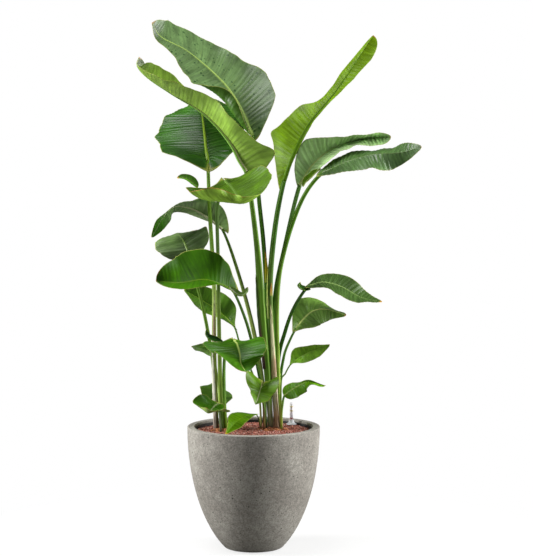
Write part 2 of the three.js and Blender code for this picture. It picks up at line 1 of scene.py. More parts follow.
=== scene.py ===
import bpy
import numpy as np
from mathutils import Euler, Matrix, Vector


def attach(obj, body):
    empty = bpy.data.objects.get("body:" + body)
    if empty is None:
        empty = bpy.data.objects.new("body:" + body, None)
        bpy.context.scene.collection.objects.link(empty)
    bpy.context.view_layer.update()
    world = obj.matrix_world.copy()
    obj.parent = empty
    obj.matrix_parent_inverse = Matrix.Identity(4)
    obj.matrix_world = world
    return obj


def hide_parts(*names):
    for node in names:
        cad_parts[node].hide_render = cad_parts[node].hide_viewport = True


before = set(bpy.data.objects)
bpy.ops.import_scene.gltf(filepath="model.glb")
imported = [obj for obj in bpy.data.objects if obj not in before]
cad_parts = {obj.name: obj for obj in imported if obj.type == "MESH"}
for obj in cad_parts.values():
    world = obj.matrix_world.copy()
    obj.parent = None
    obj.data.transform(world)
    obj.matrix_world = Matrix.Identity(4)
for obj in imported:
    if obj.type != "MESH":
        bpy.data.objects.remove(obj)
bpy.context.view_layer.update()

MM = 0.001


# ---- Camera, floor and studio light
# The plant is seen from 5 m in front, from the height of its upper leaves and a little downwards.
# The floor is a pale seamless sheet, lit so that it fades into a white room.

CAMERA_AT = (0.036, -5.0, 1.107)
CAMERA_DOWN = 4.015  # degrees below level
LENS = 116.9  # mm on a 36 mm sensor, for the picture's long side
SOFT_LIGHTS = [  # place and aim in metres, width and height in metres, watts
    ("light_left", (-2.3, -0.05, 1.3), (0, 0, 0.7), (0.8, 2.4), 96),
    ("light_right", (2.3, -0.1, 1.2), (0, 0, 0.6), (0.8, 2.4), 104),
    ("light_top", (-0.6, -0.4, 3.0), (0, 0, 0.8), (1.4, 1.4), 44),
    ("light_front", (-0.5, -3.4, 2.3), (0, 0, 0.8), (1.4, 1.4), 8),
]


def linear(hex_colour):
    """A colour written as sRGB hex, as the linear red, green, blue and alpha that sockets take."""
    srgb = np.array([int(hex_colour[i : i + 2], 16) for i in (1, 3, 5)]) / 255
    low, high = srgb / 12.92, ((srgb + 0.055) / 1.055) ** 2.4
    return (*np.where(srgb <= 0.04045, low, high), 1.0)


def node(tree, kind, inputs=None, stops=(), **settings):
    """Adds one shader node. settings are its own properties. inputs gives, by a socket's name or
    number, a plain value, a hex colour, or the output socket that is linked to it. stops are the
    places and colours along a colour ramp."""
    made = tree.nodes.new("ShaderNode" + kind)
    for key, value in settings.items():
        setattr(made, key, value)
    for key, value in (inputs or {}).items():
        if isinstance(value, bpy.types.NodeSocket):
            tree.links.new(value, made.inputs[key])
        elif isinstance(value, str):
            made.inputs[key].default_value = linear(value)
        else:
            made.inputs[key].default_value = value
    if stops:
        elements = made.color_ramp.elements
        while len(elements) < len(stops):
            elements.new(0.5)
        for element, (position, colour) in zip(elements, stops):
            element.position, element.color = position, linear(colour)
    return made


camera_data = bpy.data.cameras.new("camera")
camera_data.sensor_width = 36
camera_data.lens = LENS
camera = bpy.data.objects.new("camera", camera_data)
camera.location = CAMERA_AT
camera.rotation_euler = Euler((np.radians(90 - CAMERA_DOWN), 0, 0))
bpy.context.scene.collection.objects.link(camera)
bpy.context.scene.camera = camera
bpy.context.scene.view_settings.view_transform = "Standard"

for light_name, place, aim, size, watts in SOFT_LIGHTS:
    light_data = bpy.data.lights.new(light_name, "AREA")
    light_data.shape = "RECTANGLE"
    light_data.size, light_data.size_y = size
    light_data.energy = watts
    light = bpy.data.objects.new(light_name, light_data)
    light.location = place
    light.rotation_euler = (Vector(aim) - Vector(place)).to_track_quat("-Z", "Y").to_euler()
    bpy.context.scene.collection.objects.link(light)

world = bpy.data.worlds.new("white_room")
world.use_nodes = True
world.node_tree.nodes.clear()
room_seen = node(world.node_tree, "Background", {"Color": "#ffffff", "Strength": 1.0})
room_light = node(world.node_tree, "Background", {"Color": "#f4f8ff", "Strength": 0.12})
ray = node(world.node_tree, "LightPath")
room = node(
    world.node_tree,
    "MixShader",
    {0: ray.outputs["Is Camera Ray"], 1: room_light.outputs[0], 2: room_seen.outputs[0]},
)
node(world.node_tree, "OutputWorld", {"Surface": room.outputs[0]})
bpy.context.scene.world = world


def mesh_piece(name, points, faces, values=None, uv=None, smooth=True):
    """A mesh object from points in mm and arrays of faces with the same number of corners each.
    values are numbers kept for each point by name, and uv is a place for each point."""
    mesh = bpy.data.meshes.new(name)
    mesh.vertices.add(len(points))
    mesh.vertices.foreach_set("co", (np.asarray(points) * MM).astype(np.float32).ravel())
    corners = np.concatenate([np.asarray(f).ravel() for f in faces])
    counts = np.concatenate([np.full(len(f), np.shape(f)[1]) for f in faces])
    mesh.loops.add(len(corners))
    mesh.loops.foreach_set("vertex_index", corners.astype(np.int32))
    mesh.polygons.add(len(counts))
    mesh.polygons.foreach_set("loop_start", (np.cumsum(counts) - counts).astype(np.int32))
    mesh.polygons.foreach_set("use_smooth", np.full(len(counts), smooth))
    if uv is not None:
        layer = mesh.uv_layers.new(name="surface")
        layer.data.foreach_set("uv", np.asarray(uv)[corners].astype(np.float32).ravel())
    for key, value in (values or {}).items():
        mesh.attributes.new(key, "FLOAT", "POINT").data.foreach_set("value", value.ravel())
    mesh.update(calc_edges=True)
    piece = bpy.data.objects.new(name, mesh)
    bpy.context.scene.collection.objects.link(piece)
    return piece


def new_material(name):
    """An empty material and its node tree, with the output node made."""
    material = bpy.data.materials.new(name)
    material.use_nodes = True
    material.node_tree.nodes.clear()
    return material, material.node_tree


def painted(tree, colour, *layers):
    """A colour with layers of other colours over it, each (how much of it shows, its colour)."""
    for share, paint in layers:
        layer = {0: share, 6: colour, 7: paint}
        colour = node(tree, "Mix", layer, data_type="RGBA").outputs[2]
    return colour


# Pale floor sheet: it takes the soft shadow near the planter, and further out shows as white.
FLOOR_RADIUS = 9000
FLOOR_CORNERS = 96
FLOOR_DROP = 0.2  # below the planter's underside
FLOOR_FADE = (0.25, 0.9)  # metres from the middle between which it turns white
FLOOR_WHITE = 0.7  # how white it already is in the middle

floor_material, tree = new_material("pale_floor_sheet")
place = node(tree, "TexCoord").outputs["Object"]
distance = node(tree, "VectorMath", {0: place}, operation="LENGTH").outputs["Value"]
fade = node(tree, "MapRange", {0: distance, 1: FLOOR_FADE[0], 2: FLOOR_FADE[1], 3: FLOOR_WHITE})
seen = node(tree, "LightPath").outputs["Is Camera Ray"]
white_share = node(tree, "Math", {0: fade.outputs[0], 1: seen}, operation="MULTIPLY")
matt = node(tree, "BsdfDiffuse", {"Color": painted(tree, "#7c7c7a", (seen, "#f6f6f4"))})
white = node(tree, "Emission", {"Color": "#ffffff"})
floor_mix = {0: white_share.outputs[0], 1: matt.outputs[0], 2: white.outputs[0]}
floor_shader = node(tree, "MixShader", floor_mix)
node(tree, "OutputMaterial", {"Surface": floor_shader.outputs[0]})

turn = np.linspace(0, 2 * np.pi, FLOOR_CORNERS, endpoint=False)
rim = np.stack([np.cos(turn), np.sin(turn), 0 * turn], -1) * FLOOR_RADIUS
floor = mesh_piece("floor", rim - [0, 0, FLOOR_DROP], [np.arange(FLOOR_CORNERS)[None]], smooth=False)
floor.data.materials.append(floor_material)


# ---- Planter
# A thick-walled planter of fine concrete, cast in a mould and left raw: egg-shaped, with a flat
# rim, a small flat underside, pinholes where air was trapped and a blotchy, finely speckled skin.

RIM_RADIUS = 185
HEIGHT = 342
OUTER_DROP = 378  # depth of the ellipse that the outside follows
INNER_RADIUS = 165
INNER_DROP = 370
OUTER_ROUNDING = 2.2  # of the rim's outer edge
INNER_ROUNDING = 1.6
FOOT_TOP = 8  # the wall starts here, above the rounded foot
FLOOR_THICKNESS = 18
TURN_STEPS = 256


def grid_quads(rows, columns, wrap=False, start=0):
    """Corner numbers of the four-sided faces between neighbouring points of a grid that is
    numbered row by row from start. With wrap, the last column meets the first."""
    i, j = np.meshgrid(np.arange(rows - 1), np.arange(columns - (not wrap)), indexing="ij")
    k, right = i * columns + j, i * columns + (j + 1) % columns
    return np.stack([k, right, right + columns, k + columns], -1).reshape(-1, 4) + start


def fan(middle, ring):
    """Triangles from a middle point to each two neighbours in a ring, all given by number."""
    return np.stack([np.full(len(ring), middle), ring, np.roll(ring, -1)], -1)


def turned_piece(name, profile, steps=TURN_STEPS, centre=(0, 0), offset=None, smooth=True):
    """A profile of (radius, height) carried round an upright axis at centre. Where the profile
    ends on the axis the end is closed by a fan. offset(angle, radius, height) moves each point
    out from the axis."""
    r, z = np.array(profile, float).T
    closed = np.allclose(profile[0], profile[-1])
    if closed:
        r, z = r[:-1], z[:-1]
    inner = slice(0 if r[0] > 0 else 1, None if r[-1] > 0 else -1)
    angle = np.linspace(0, 2 * np.pi, steps, endpoint=False)[None]
    ring_r, ring_z = r[inner, None], z[inner, None]
    out = ring_r + (offset(angle, ring_r, ring_z) if offset else 0)
    points = np.stack(
        [out * np.cos(angle) + centre[0], out * np.sin(angle) + centre[1], ring_z + 0 * angle], -1
    )
    points = points.reshape(-1, 3)
    faces = [grid_quads(len(ring_r), steps, wrap=True)]
    first = np.arange(steps)
    last = first + (len(ring_r) - 1) * steps
    if closed:
        faces.append(np.stack([last, np.roll(last, -1), np.roll(first, -1), first], -1))
    if r[0] == 0:
        points = np.vstack([points, [*centre, z[0]]])
        faces.append(fan(len(points) - 1, first)[:, ::-1])
    if r[-1] == 0:
        points = np.vstack([points, [*centre, z[-1]]])
        faces.append(fan(len(points) - 1, last))
    return mesh_piece(name, points, faces, smooth=smooth)


def ellipse_radius(radius, drop, z):
    """Radius at height z of an upright half ellipse whose widest ring is at the rim."""
    return radius * np.sqrt(1 - ((HEIGHT - z) / drop) ** 2)


def corner(centre_r, centre_z, radius, start, end, count=6):
    """Points of an arc of a profile, from the start angle to the end angle in degrees."""
    angle = np.radians(np.linspace(start, end, count))
    return list(zip(centre_r + radius * np.cos(angle), centre_z + radius * np.sin(angle)))


def finish_piece(piece, material, replaces=()):
    """Gives a piece its material, hangs it on the root body, and hides the parts of the frame that
    it stands for."""
    piece.data.materials.append(material)
    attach(piece, "root")
    if replaces:
        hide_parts(*replaces)


def shaded(tree, colour, pattern, span, shades):
    """A colour made darker and lighter by a pattern: as the pattern goes through its span, the
    colour is multiplied by a number that goes from the first shade to the second."""
    (start, end), (low, high) = span, shades
    shade = node(tree, "MapRange", {0: pattern, 1: start, 2: end, 3: low, 4: high}).outputs[0]
    product = {0: 1.0, 6: colour, 7: shade}
    return node(tree, "Mix", product, data_type="RGBA", blend_type="MULTIPLY").outputs[2]


def surface_of(tree, colour, roughness, relief=None, more=None):
    """Ends a material: its colour and roughness, bumps for its relief, which is (strength, height
    in mm, pattern), and more inputs of the surface by name."""
    look = {"Base Color": colour, "Roughness": roughness, **(more or {})}
    if relief:
        strength, height, pattern = relief
        bump = {"Strength": strength, "Distance": height * MM, "Height": pattern}
        look["Normal"] = node(tree, "Bump", bump).outputs[0]
    surface = node(tree, "BsdfPrincipled", look).outputs[0]
    node(tree, "OutputMaterial", {"Surface": surface})


def concrete_offset(angle, radius, z):
    """Slow hand-made unevenness of the cast wall, 0.25 mm either way: sines round and up."""
    round_wave = np.sin(3 * angle + z / 47) + np.sin(7 * angle - z / 31 + 1.3)
    return 0.12 * round_wave * np.minimum(radius / RIM_RADIUS, 1)


outer_z = np.linspace(FOOT_TOP, HEIGHT - OUTER_ROUNDING - 0.3, 110)
inner_z = np.linspace(HEIGHT - INNER_ROUNDING - 0.4, FLOOR_THICKNESS + 8, 60)
planter_profile = [(0, 0), (40, 0), (70, 0)]
planter_profile += [(73.5, 0.25), (77, 1), (80.5, 2.4), (83.5, 4.4)]
planter_profile += list(zip(ellipse_radius(RIM_RADIUS, OUTER_DROP, outer_z), outer_z))
planter_profile += corner(RIM_RADIUS - OUTER_ROUNDING, HEIGHT - OUTER_ROUNDING, OUTER_ROUNDING, 0, 90)
inner_edge = INNER_RADIUS + INNER_ROUNDING
planter_profile += corner(inner_edge, HEIGHT - INNER_ROUNDING, INNER_ROUNDING, 90, 180)
planter_profile += list(zip(ellipse_radius(INNER_RADIUS, INNER_DROP, inner_z), inner_z))
planter_profile += [(ellipse_radius(INNER_RADIUS, INNER_DROP, 20) - 4, FLOOR_THICKNESS)]
planter_profile += [(0, FLOOR_THICKNESS)]

# Raw cast concrete: cement paste gives soft grey-brown clouds 110 mm and 12 mm across, sand a
# salt-and-pepper speckle, drawn at 4 mm where the real one is 1.5 mm, since that would be lost in
# a picture of the whole plant, and trapped air pinholes of 1 to 3 mm, painted dark inside as
# painted shade.
concrete, tree = new_material("raw_cast_concrete")
place = node(tree, "TexCoord").outputs["Object"]
clouds = node(tree, "TexNoise", {"Vector": place, "Scale": 9.0, "Detail": 4.0, "Roughness": 0.6})
cloud_share = node(tree, "MapRange", {0: clouds.outputs[0], 1: 0.36, 2: 0.66}).outputs[0]
colour = painted(tree, "#87827a", (cloud_share, "#9f9b92"))
patches = node(tree, "TexNoise", {"Vector": place, "Scale": 85.0, "Detail": 3.0})
sand = node(tree, "TexNoise", {"Vector": place, "Scale": 250.0, "Detail": 4.0, "Roughness": 0.8})
colour = shaded(tree, colour, patches.outputs[0], (0.33, 0.67), (0.87, 1.13))
colour = shaded(tree, colour, sand.outputs[0], (0.33, 0.67), (0.55, 1.48))
pinholes = node(tree, "TexVoronoi", {"Vector": place, "Scale": 90.0, "Randomness": 1.0})
hole_size = node(tree, "SeparateColor", {0: pinholes.outputs["Color"]}).outputs[0]
hole_edge = node(tree, "MapRange", {0: hole_size, 1: 0.3, 2: 1.0, 3: 0.0, 4: 0.2}).outputs[0]
depth = {0: pinholes.outputs["Distance"], 1: hole_edge}
hole_depth = node(tree, "Math", depth, operation="SUBTRACT").outputs[0]
hole = node(tree, "MapRange", {0: hole_depth, 1: 0.0, 2: -0.035}).outputs[0]
height = node(tree, "Math", {0: sand.outputs[0], 1: hole}, operation="SUBTRACT").outputs[0]
# The pinholes are painted dark: painted shade inside the holes.
surface_of(tree, painted(tree, colour, (hole, "#3a372f")), 0.88, (0.5, 0.6, height))

planter = turned_piece("planter_wall", planter_profile, offset=concrete_offset)
finish_piece(planter, concrete, ["planter"])


# ---- Liner
# A pot-shaped liner of black polypropylene, injection moulded, that stands inside the planter and
# keeps the water in. Only its top edge shows, as a dark line inside the rim.

LINER_TOP = 336
LINER_GAP = 0.8
LINER_WALL = 2.7

liner_z = np.linspace(FLOOR_THICKNESS + 9, LINER_TOP - LINER_WALL / 2 - 0.05, 40)
liner_outer = ellipse_radius(INNER_RADIUS, INNER_DROP, liner_z) - LINER_GAP
liner_edge = liner_outer[-1] - LINER_WALL / 2
liner_floor = FLOOR_THICKNESS + LINER_GAP
liner_profile = [(0, liner_floor), (liner_outer[0] - 5, liner_floor)]
liner_profile += list(zip(liner_outer, liner_z))
liner_profile += corner(liner_edge, LINER_TOP - LINER_WALL / 2, LINER_WALL / 2, 0, 180, 9)
liner_profile += list(zip(liner_outer[::-1] - LINER_WALL, liner_z[::-1]))
liner_profile += [(liner_outer[0] - 9, liner_floor + LINER_WALL), (0, liner_floor + LINER_WALL)]

# Moulded black polypropylene: a dull black with a faint grain from the mould and some dust.
black_plastic, tree = new_material("moulded_black_polypropylene")
place = node(tree, "TexCoord").outputs["Object"]
grain = node(tree, "TexNoise", {"Vector": place, "Scale": 300.0, "Detail": 2.0}).outputs[0]
surface_of(tree, painted(tree, "#141414", (grain, "#2c2b29")), 0.5, (0.2, 0.3, grain))

liner = turned_piece("planter_liner", liner_profile)
finish_piece(liner, black_plastic, ["liner"])


# ---- Clay pellets and roots
# Fired clay pellets of 8 to 16 mm fill the liner, and the roots of each clump hold a ball of them.
# Round the feet of the stems the pellets lie bare, where the granulate was kept off.

PELLET_RADIUS = (5.2, 7.4)
PELLET_HEIGHT = 331.5  # in the middle of a bare patch
PELLET_FALL = 5.5  # from there to the patch's edge
CLUMPS = [  # middle of each bare patch, its half width in x and y, how many pellets show there
    ((-90, 6), (30, 27), 46),
    ((54, 26), (43, 30), 84),
]
random = np.random.default_rng(11)


def icosahedron():
    """The 12 corners, all 1 from the middle, and 20 faces of the regular solid."""
    long = (1 + 5**0.5) / 2
    corners = [(a, b * long, 0) for a in (-1, 1) for b in (-1, 1)]
    corners += [(0, a, b * long) for a in (-1, 1) for b in (-1, 1)]
    corners += [(b * long, 0, a) for a in (-1, 1) for b in (-1, 1)]
    corners = np.array(corners) / np.hypot(1, long)
    near = np.linalg.norm(corners[:, None] - corners[None], axis=-1) < 1.2
    faces = [
        (i, j, k)
        for i in range(12)
        for j in range(i + 1, 12)
        for k in range(j + 1, 12)
        if near[i, j] and near[j, k] and near[i, k]
    ]
    faces = np.array(faces)
    a, b, c = (corners[faces[:, n]] for n in range(3))
    outward = (np.cross(b - a, c - a) * a).sum(-1) > 0
    return corners, np.where(outward[:, None], faces, faces[:, ::-1])


def subdivided(corners, faces):
    """Each triangle as four, with the new corners pushed out to 1 from the middle."""
    edges = np.sort(faces[:, [[0, 1], [1, 2], [2, 0]]], axis=-1).reshape(-1, 2)
    unique, number = np.unique(edges, axis=0, return_inverse=True)
    middles = corners[unique].mean(1)
    middles /= np.linalg.norm(middles, axis=1, keepdims=True)
    ab, bc, ca = (number.reshape(-1, 3) + len(corners)).T
    a, b, c = faces.T
    made = np.stack([a, ab, ca, ab, b, bc, ca, bc, c, ab, bc, ca], -1).reshape(-1, 3)
    return np.vstack([corners, middles]), made


def scatter_stones(name, places, radii, shape, roughness, flatness=(0.75, 1.0)):
    """One copy of shape at each place: squeezed along each axis by a random share, its corners
    pushed in or out by up to roughness, turned at random, and scaled to its radius."""
    corners, faces = shape
    n = len(places)
    squeeze = random.uniform(*flatness, (n, 1, 3))
    uneven = 1 + random.uniform(-roughness, roughness, (n, len(corners), 1))
    turn, _ = np.linalg.qr(random.normal(size=(n, 3, 3)))
    turn *= np.sign(np.linalg.det(turn))[:, None, None]
    local = (corners[None] * squeeze * uneven) @ turn
    points = local * radii[:, None, None] + places[:, None]
    all_faces = faces[None] + (np.arange(n) * len(corners))[:, None, None]
    tone = np.repeat(random.random(n), len(corners))
    triangles = [all_faces.reshape(-1, 3)]
    smooth = len(corners) > 12
    return mesh_piece(name, points.reshape(-1, 3), triangles, {"tone": tone}, smooth=smooth)


def stone_material(name, ramp, grain_mm, roughness, relief_mm):
    """Broken or fired stones: each has its own colour from the ramp, by its tone, and a fine
    porous grain."""
    material, tree = new_material(name)
    tone = node(tree, "Attribute", attribute_name="tone").outputs["Fac"]
    paint = node(tree, "ValToRGB", {0: tone}, stops=ramp).outputs[0]
    place = node(tree, "TexCoord").outputs["Object"]
    pores = {"Vector": place, "Scale": 1 / (grain_mm * MM), "Detail": 3.0}
    pores = node(tree, "TexNoise", pores).outputs[0]
    porous = shaded(tree, paint, pores, (0.3, 0.7), (0.62, 1.22))
    surface_of(tree, porous, roughness, (0.8, relief_mm, pores))
    return material


def coat_hidden(name, material):
    """Gives a solid that lies hidden, and so is kept as the frame has it, its real material."""
    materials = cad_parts[name].data.materials
    materials.clear()
    materials.append(material)


# Fired clay: dull orange-brown balls with a porous skin, some scorched darker.
fired_clay = stone_material(
    "fired_clay_pellets",
    [(0.0, "#6a3c26"), (0.45, "#a05f3a"), (0.8, "#bd774a"), (1.0, "#865c44")],
    1.2, 0.9, 0.5,
)
ball = subdivided(*subdivided(*icosahedron()))
pellet_places = []
for (x, y), (half_x, half_y), count in CLUMPS:
    angle = random.uniform(0, 2 * np.pi, count)
    reach = np.sqrt(random.random(count))
    height = PELLET_HEIGHT - PELLET_FALL * reach + random.uniform(-1.5, 1.5, count)
    pellet_places.append(
        np.stack([x + half_x * reach * np.cos(angle), y + half_y * reach * np.sin(angle), height], -1)
    )
pellet_places = np.vstack(pellet_places)
pellets = scatter_stones(
    "clay_pellets_bare", pellet_places, random.uniform(*PELLET_RADIUS, len(pellet_places)), ball, 0.06
)
finish_piece(pellets, fired_clay)
coat_hidden("clay_pellets", fired_clay)

# Roots: pale brown fibres over clay.
roots, tree = new_material("roots_and_clay")
place = node(tree, "TexCoord").outputs["Object"]
fibres = {"Vector": place, "Scale": 180.0, "Detail": 5.0, "Distortion": 2.0}
fibres = node(tree, "TexNoise", fibres).outputs[0]
surface_of(tree, painted(tree, "#4a3222", (fibres, "#a88a62")), 0.95, (1.0, 2.0, fibres))
coat_hidden("root_ball_left", roots)
coat_hidden("root_ball_right", roots)


# ---- Lava granulate
# Crushed red-brown lava of 4 to 6 mm, poured level over the pellets a finger's width deep: sharp
# broken grains with dark gaps between them.

GRAIN_SPACING = 4.3
GRAIN_RADIUS = (2.1, 3.2)
BED_TOP = 326.5
BED_UNDER = 301
BED_RADIUS = 160.2
BED_RINGS, BED_STEPS = 90, 256


def bed_height(x, y):
    """The granulate's level: nearly flat, with slow swells of 1.5 mm, and a little lower where the
    pellets lie bare round each clump."""
    level = BED_TOP + 0.9 * np.sin(x / 23 + 1) * np.sin(y / 19) + 0.6 * np.sin(x / 9 - y / 13)
    for (cx, cy), (half_x, half_y), _ in CLUMPS:
        away = ((x - cx) / half_x) ** 2 + ((y - cy) / half_y) ** 2
        level = level - 5 * np.exp(-(away**2) / 0.8)
    return level


ring = np.linspace(0, BED_RADIUS, BED_RINGS)[1:, None]
angle = np.linspace(0, 2 * np.pi, BED_STEPS, endpoint=False)[None]
bed_x, bed_y = ring * np.cos(angle), ring * np.sin(angle)
bed_points = np.stack([bed_x, bed_y, bed_height(bed_x, bed_y)], -1).reshape(-1, 3)
skirt = bed_points[-BED_STEPS:] * [1, 1, 0] + [0, 0, BED_UNDER]
middles = [[0, 0, bed_height(0.0, 0.0)], [0, 0, BED_UNDER]]
bed_points = np.vstack([bed_points, skirt, middles])
around = np.arange(BED_STEPS)
bed_faces = [
    grid_quads(BED_RINGS, BED_STEPS, wrap=True)[:, ::-1],
    fan(len(bed_points) - 2, around),
    fan(len(bed_points) - 1, (BED_RINGS - 1) * BED_STEPS + around)[:, ::-1],
]
bed = mesh_piece("granulate_bed", bed_points, bed_faces)

# Crushed lava: matt, from dark brown through brick red to dusty pink, full of small pores.
lava = stone_material(
    "crushed_lava",
    [(0.0, "#5e3930"), (0.3, "#a05b4b"), (0.7, "#cb8272"), (0.92, "#e0ab9c"), (1.0, "#b3a29c")],
    0.9, 0.95, 0.5,
)
# The bed under the grains is lava too, drawn darker as painted shade for the gaps between the grains.
painted_shade_lava = stone_material("lava_bed_painted_shade", [(0.0, "#4a2c26"), (1.0, "#6a4038")], 1.5, 1.0, 1.0)
finish_piece(bed, painted_shade_lava, ["lava_granulate"])

steps = np.arange(-BED_RADIUS, BED_RADIUS, GRAIN_SPACING)
grain_x, grain_y = (axis.ravel() for axis in np.meshgrid(steps, steps * 0.9))
grain_x = grain_x + np.tile([0, GRAIN_SPACING / 2], len(steps) * len(steps) // 2 + 1)[: grain_x.size]
grain_x += random.uniform(-1.5, 1.5, grain_x.size)
grain_y = grain_y + random.uniform(-1.5, 1.5, grain_y.size)
inside = np.hypot(grain_x, grain_y) < BED_RADIUS - 2.2
grain_x, grain_y = grain_x[inside], grain_y[inside]
grain_z = bed_height(grain_x, grain_y) + random.uniform(0.0, 2.4, grain_x.size)
grains = scatter_stones(
    "granulate_grains",
    np.stack([grain_x, grain_y, grain_z], -1),
    random.uniform(*GRAIN_RADIUS, grain_x.size),
    icosahedron(),
    0.22,
    flatness=(0.6, 1.0),
)
finish_piece(grains, lava)
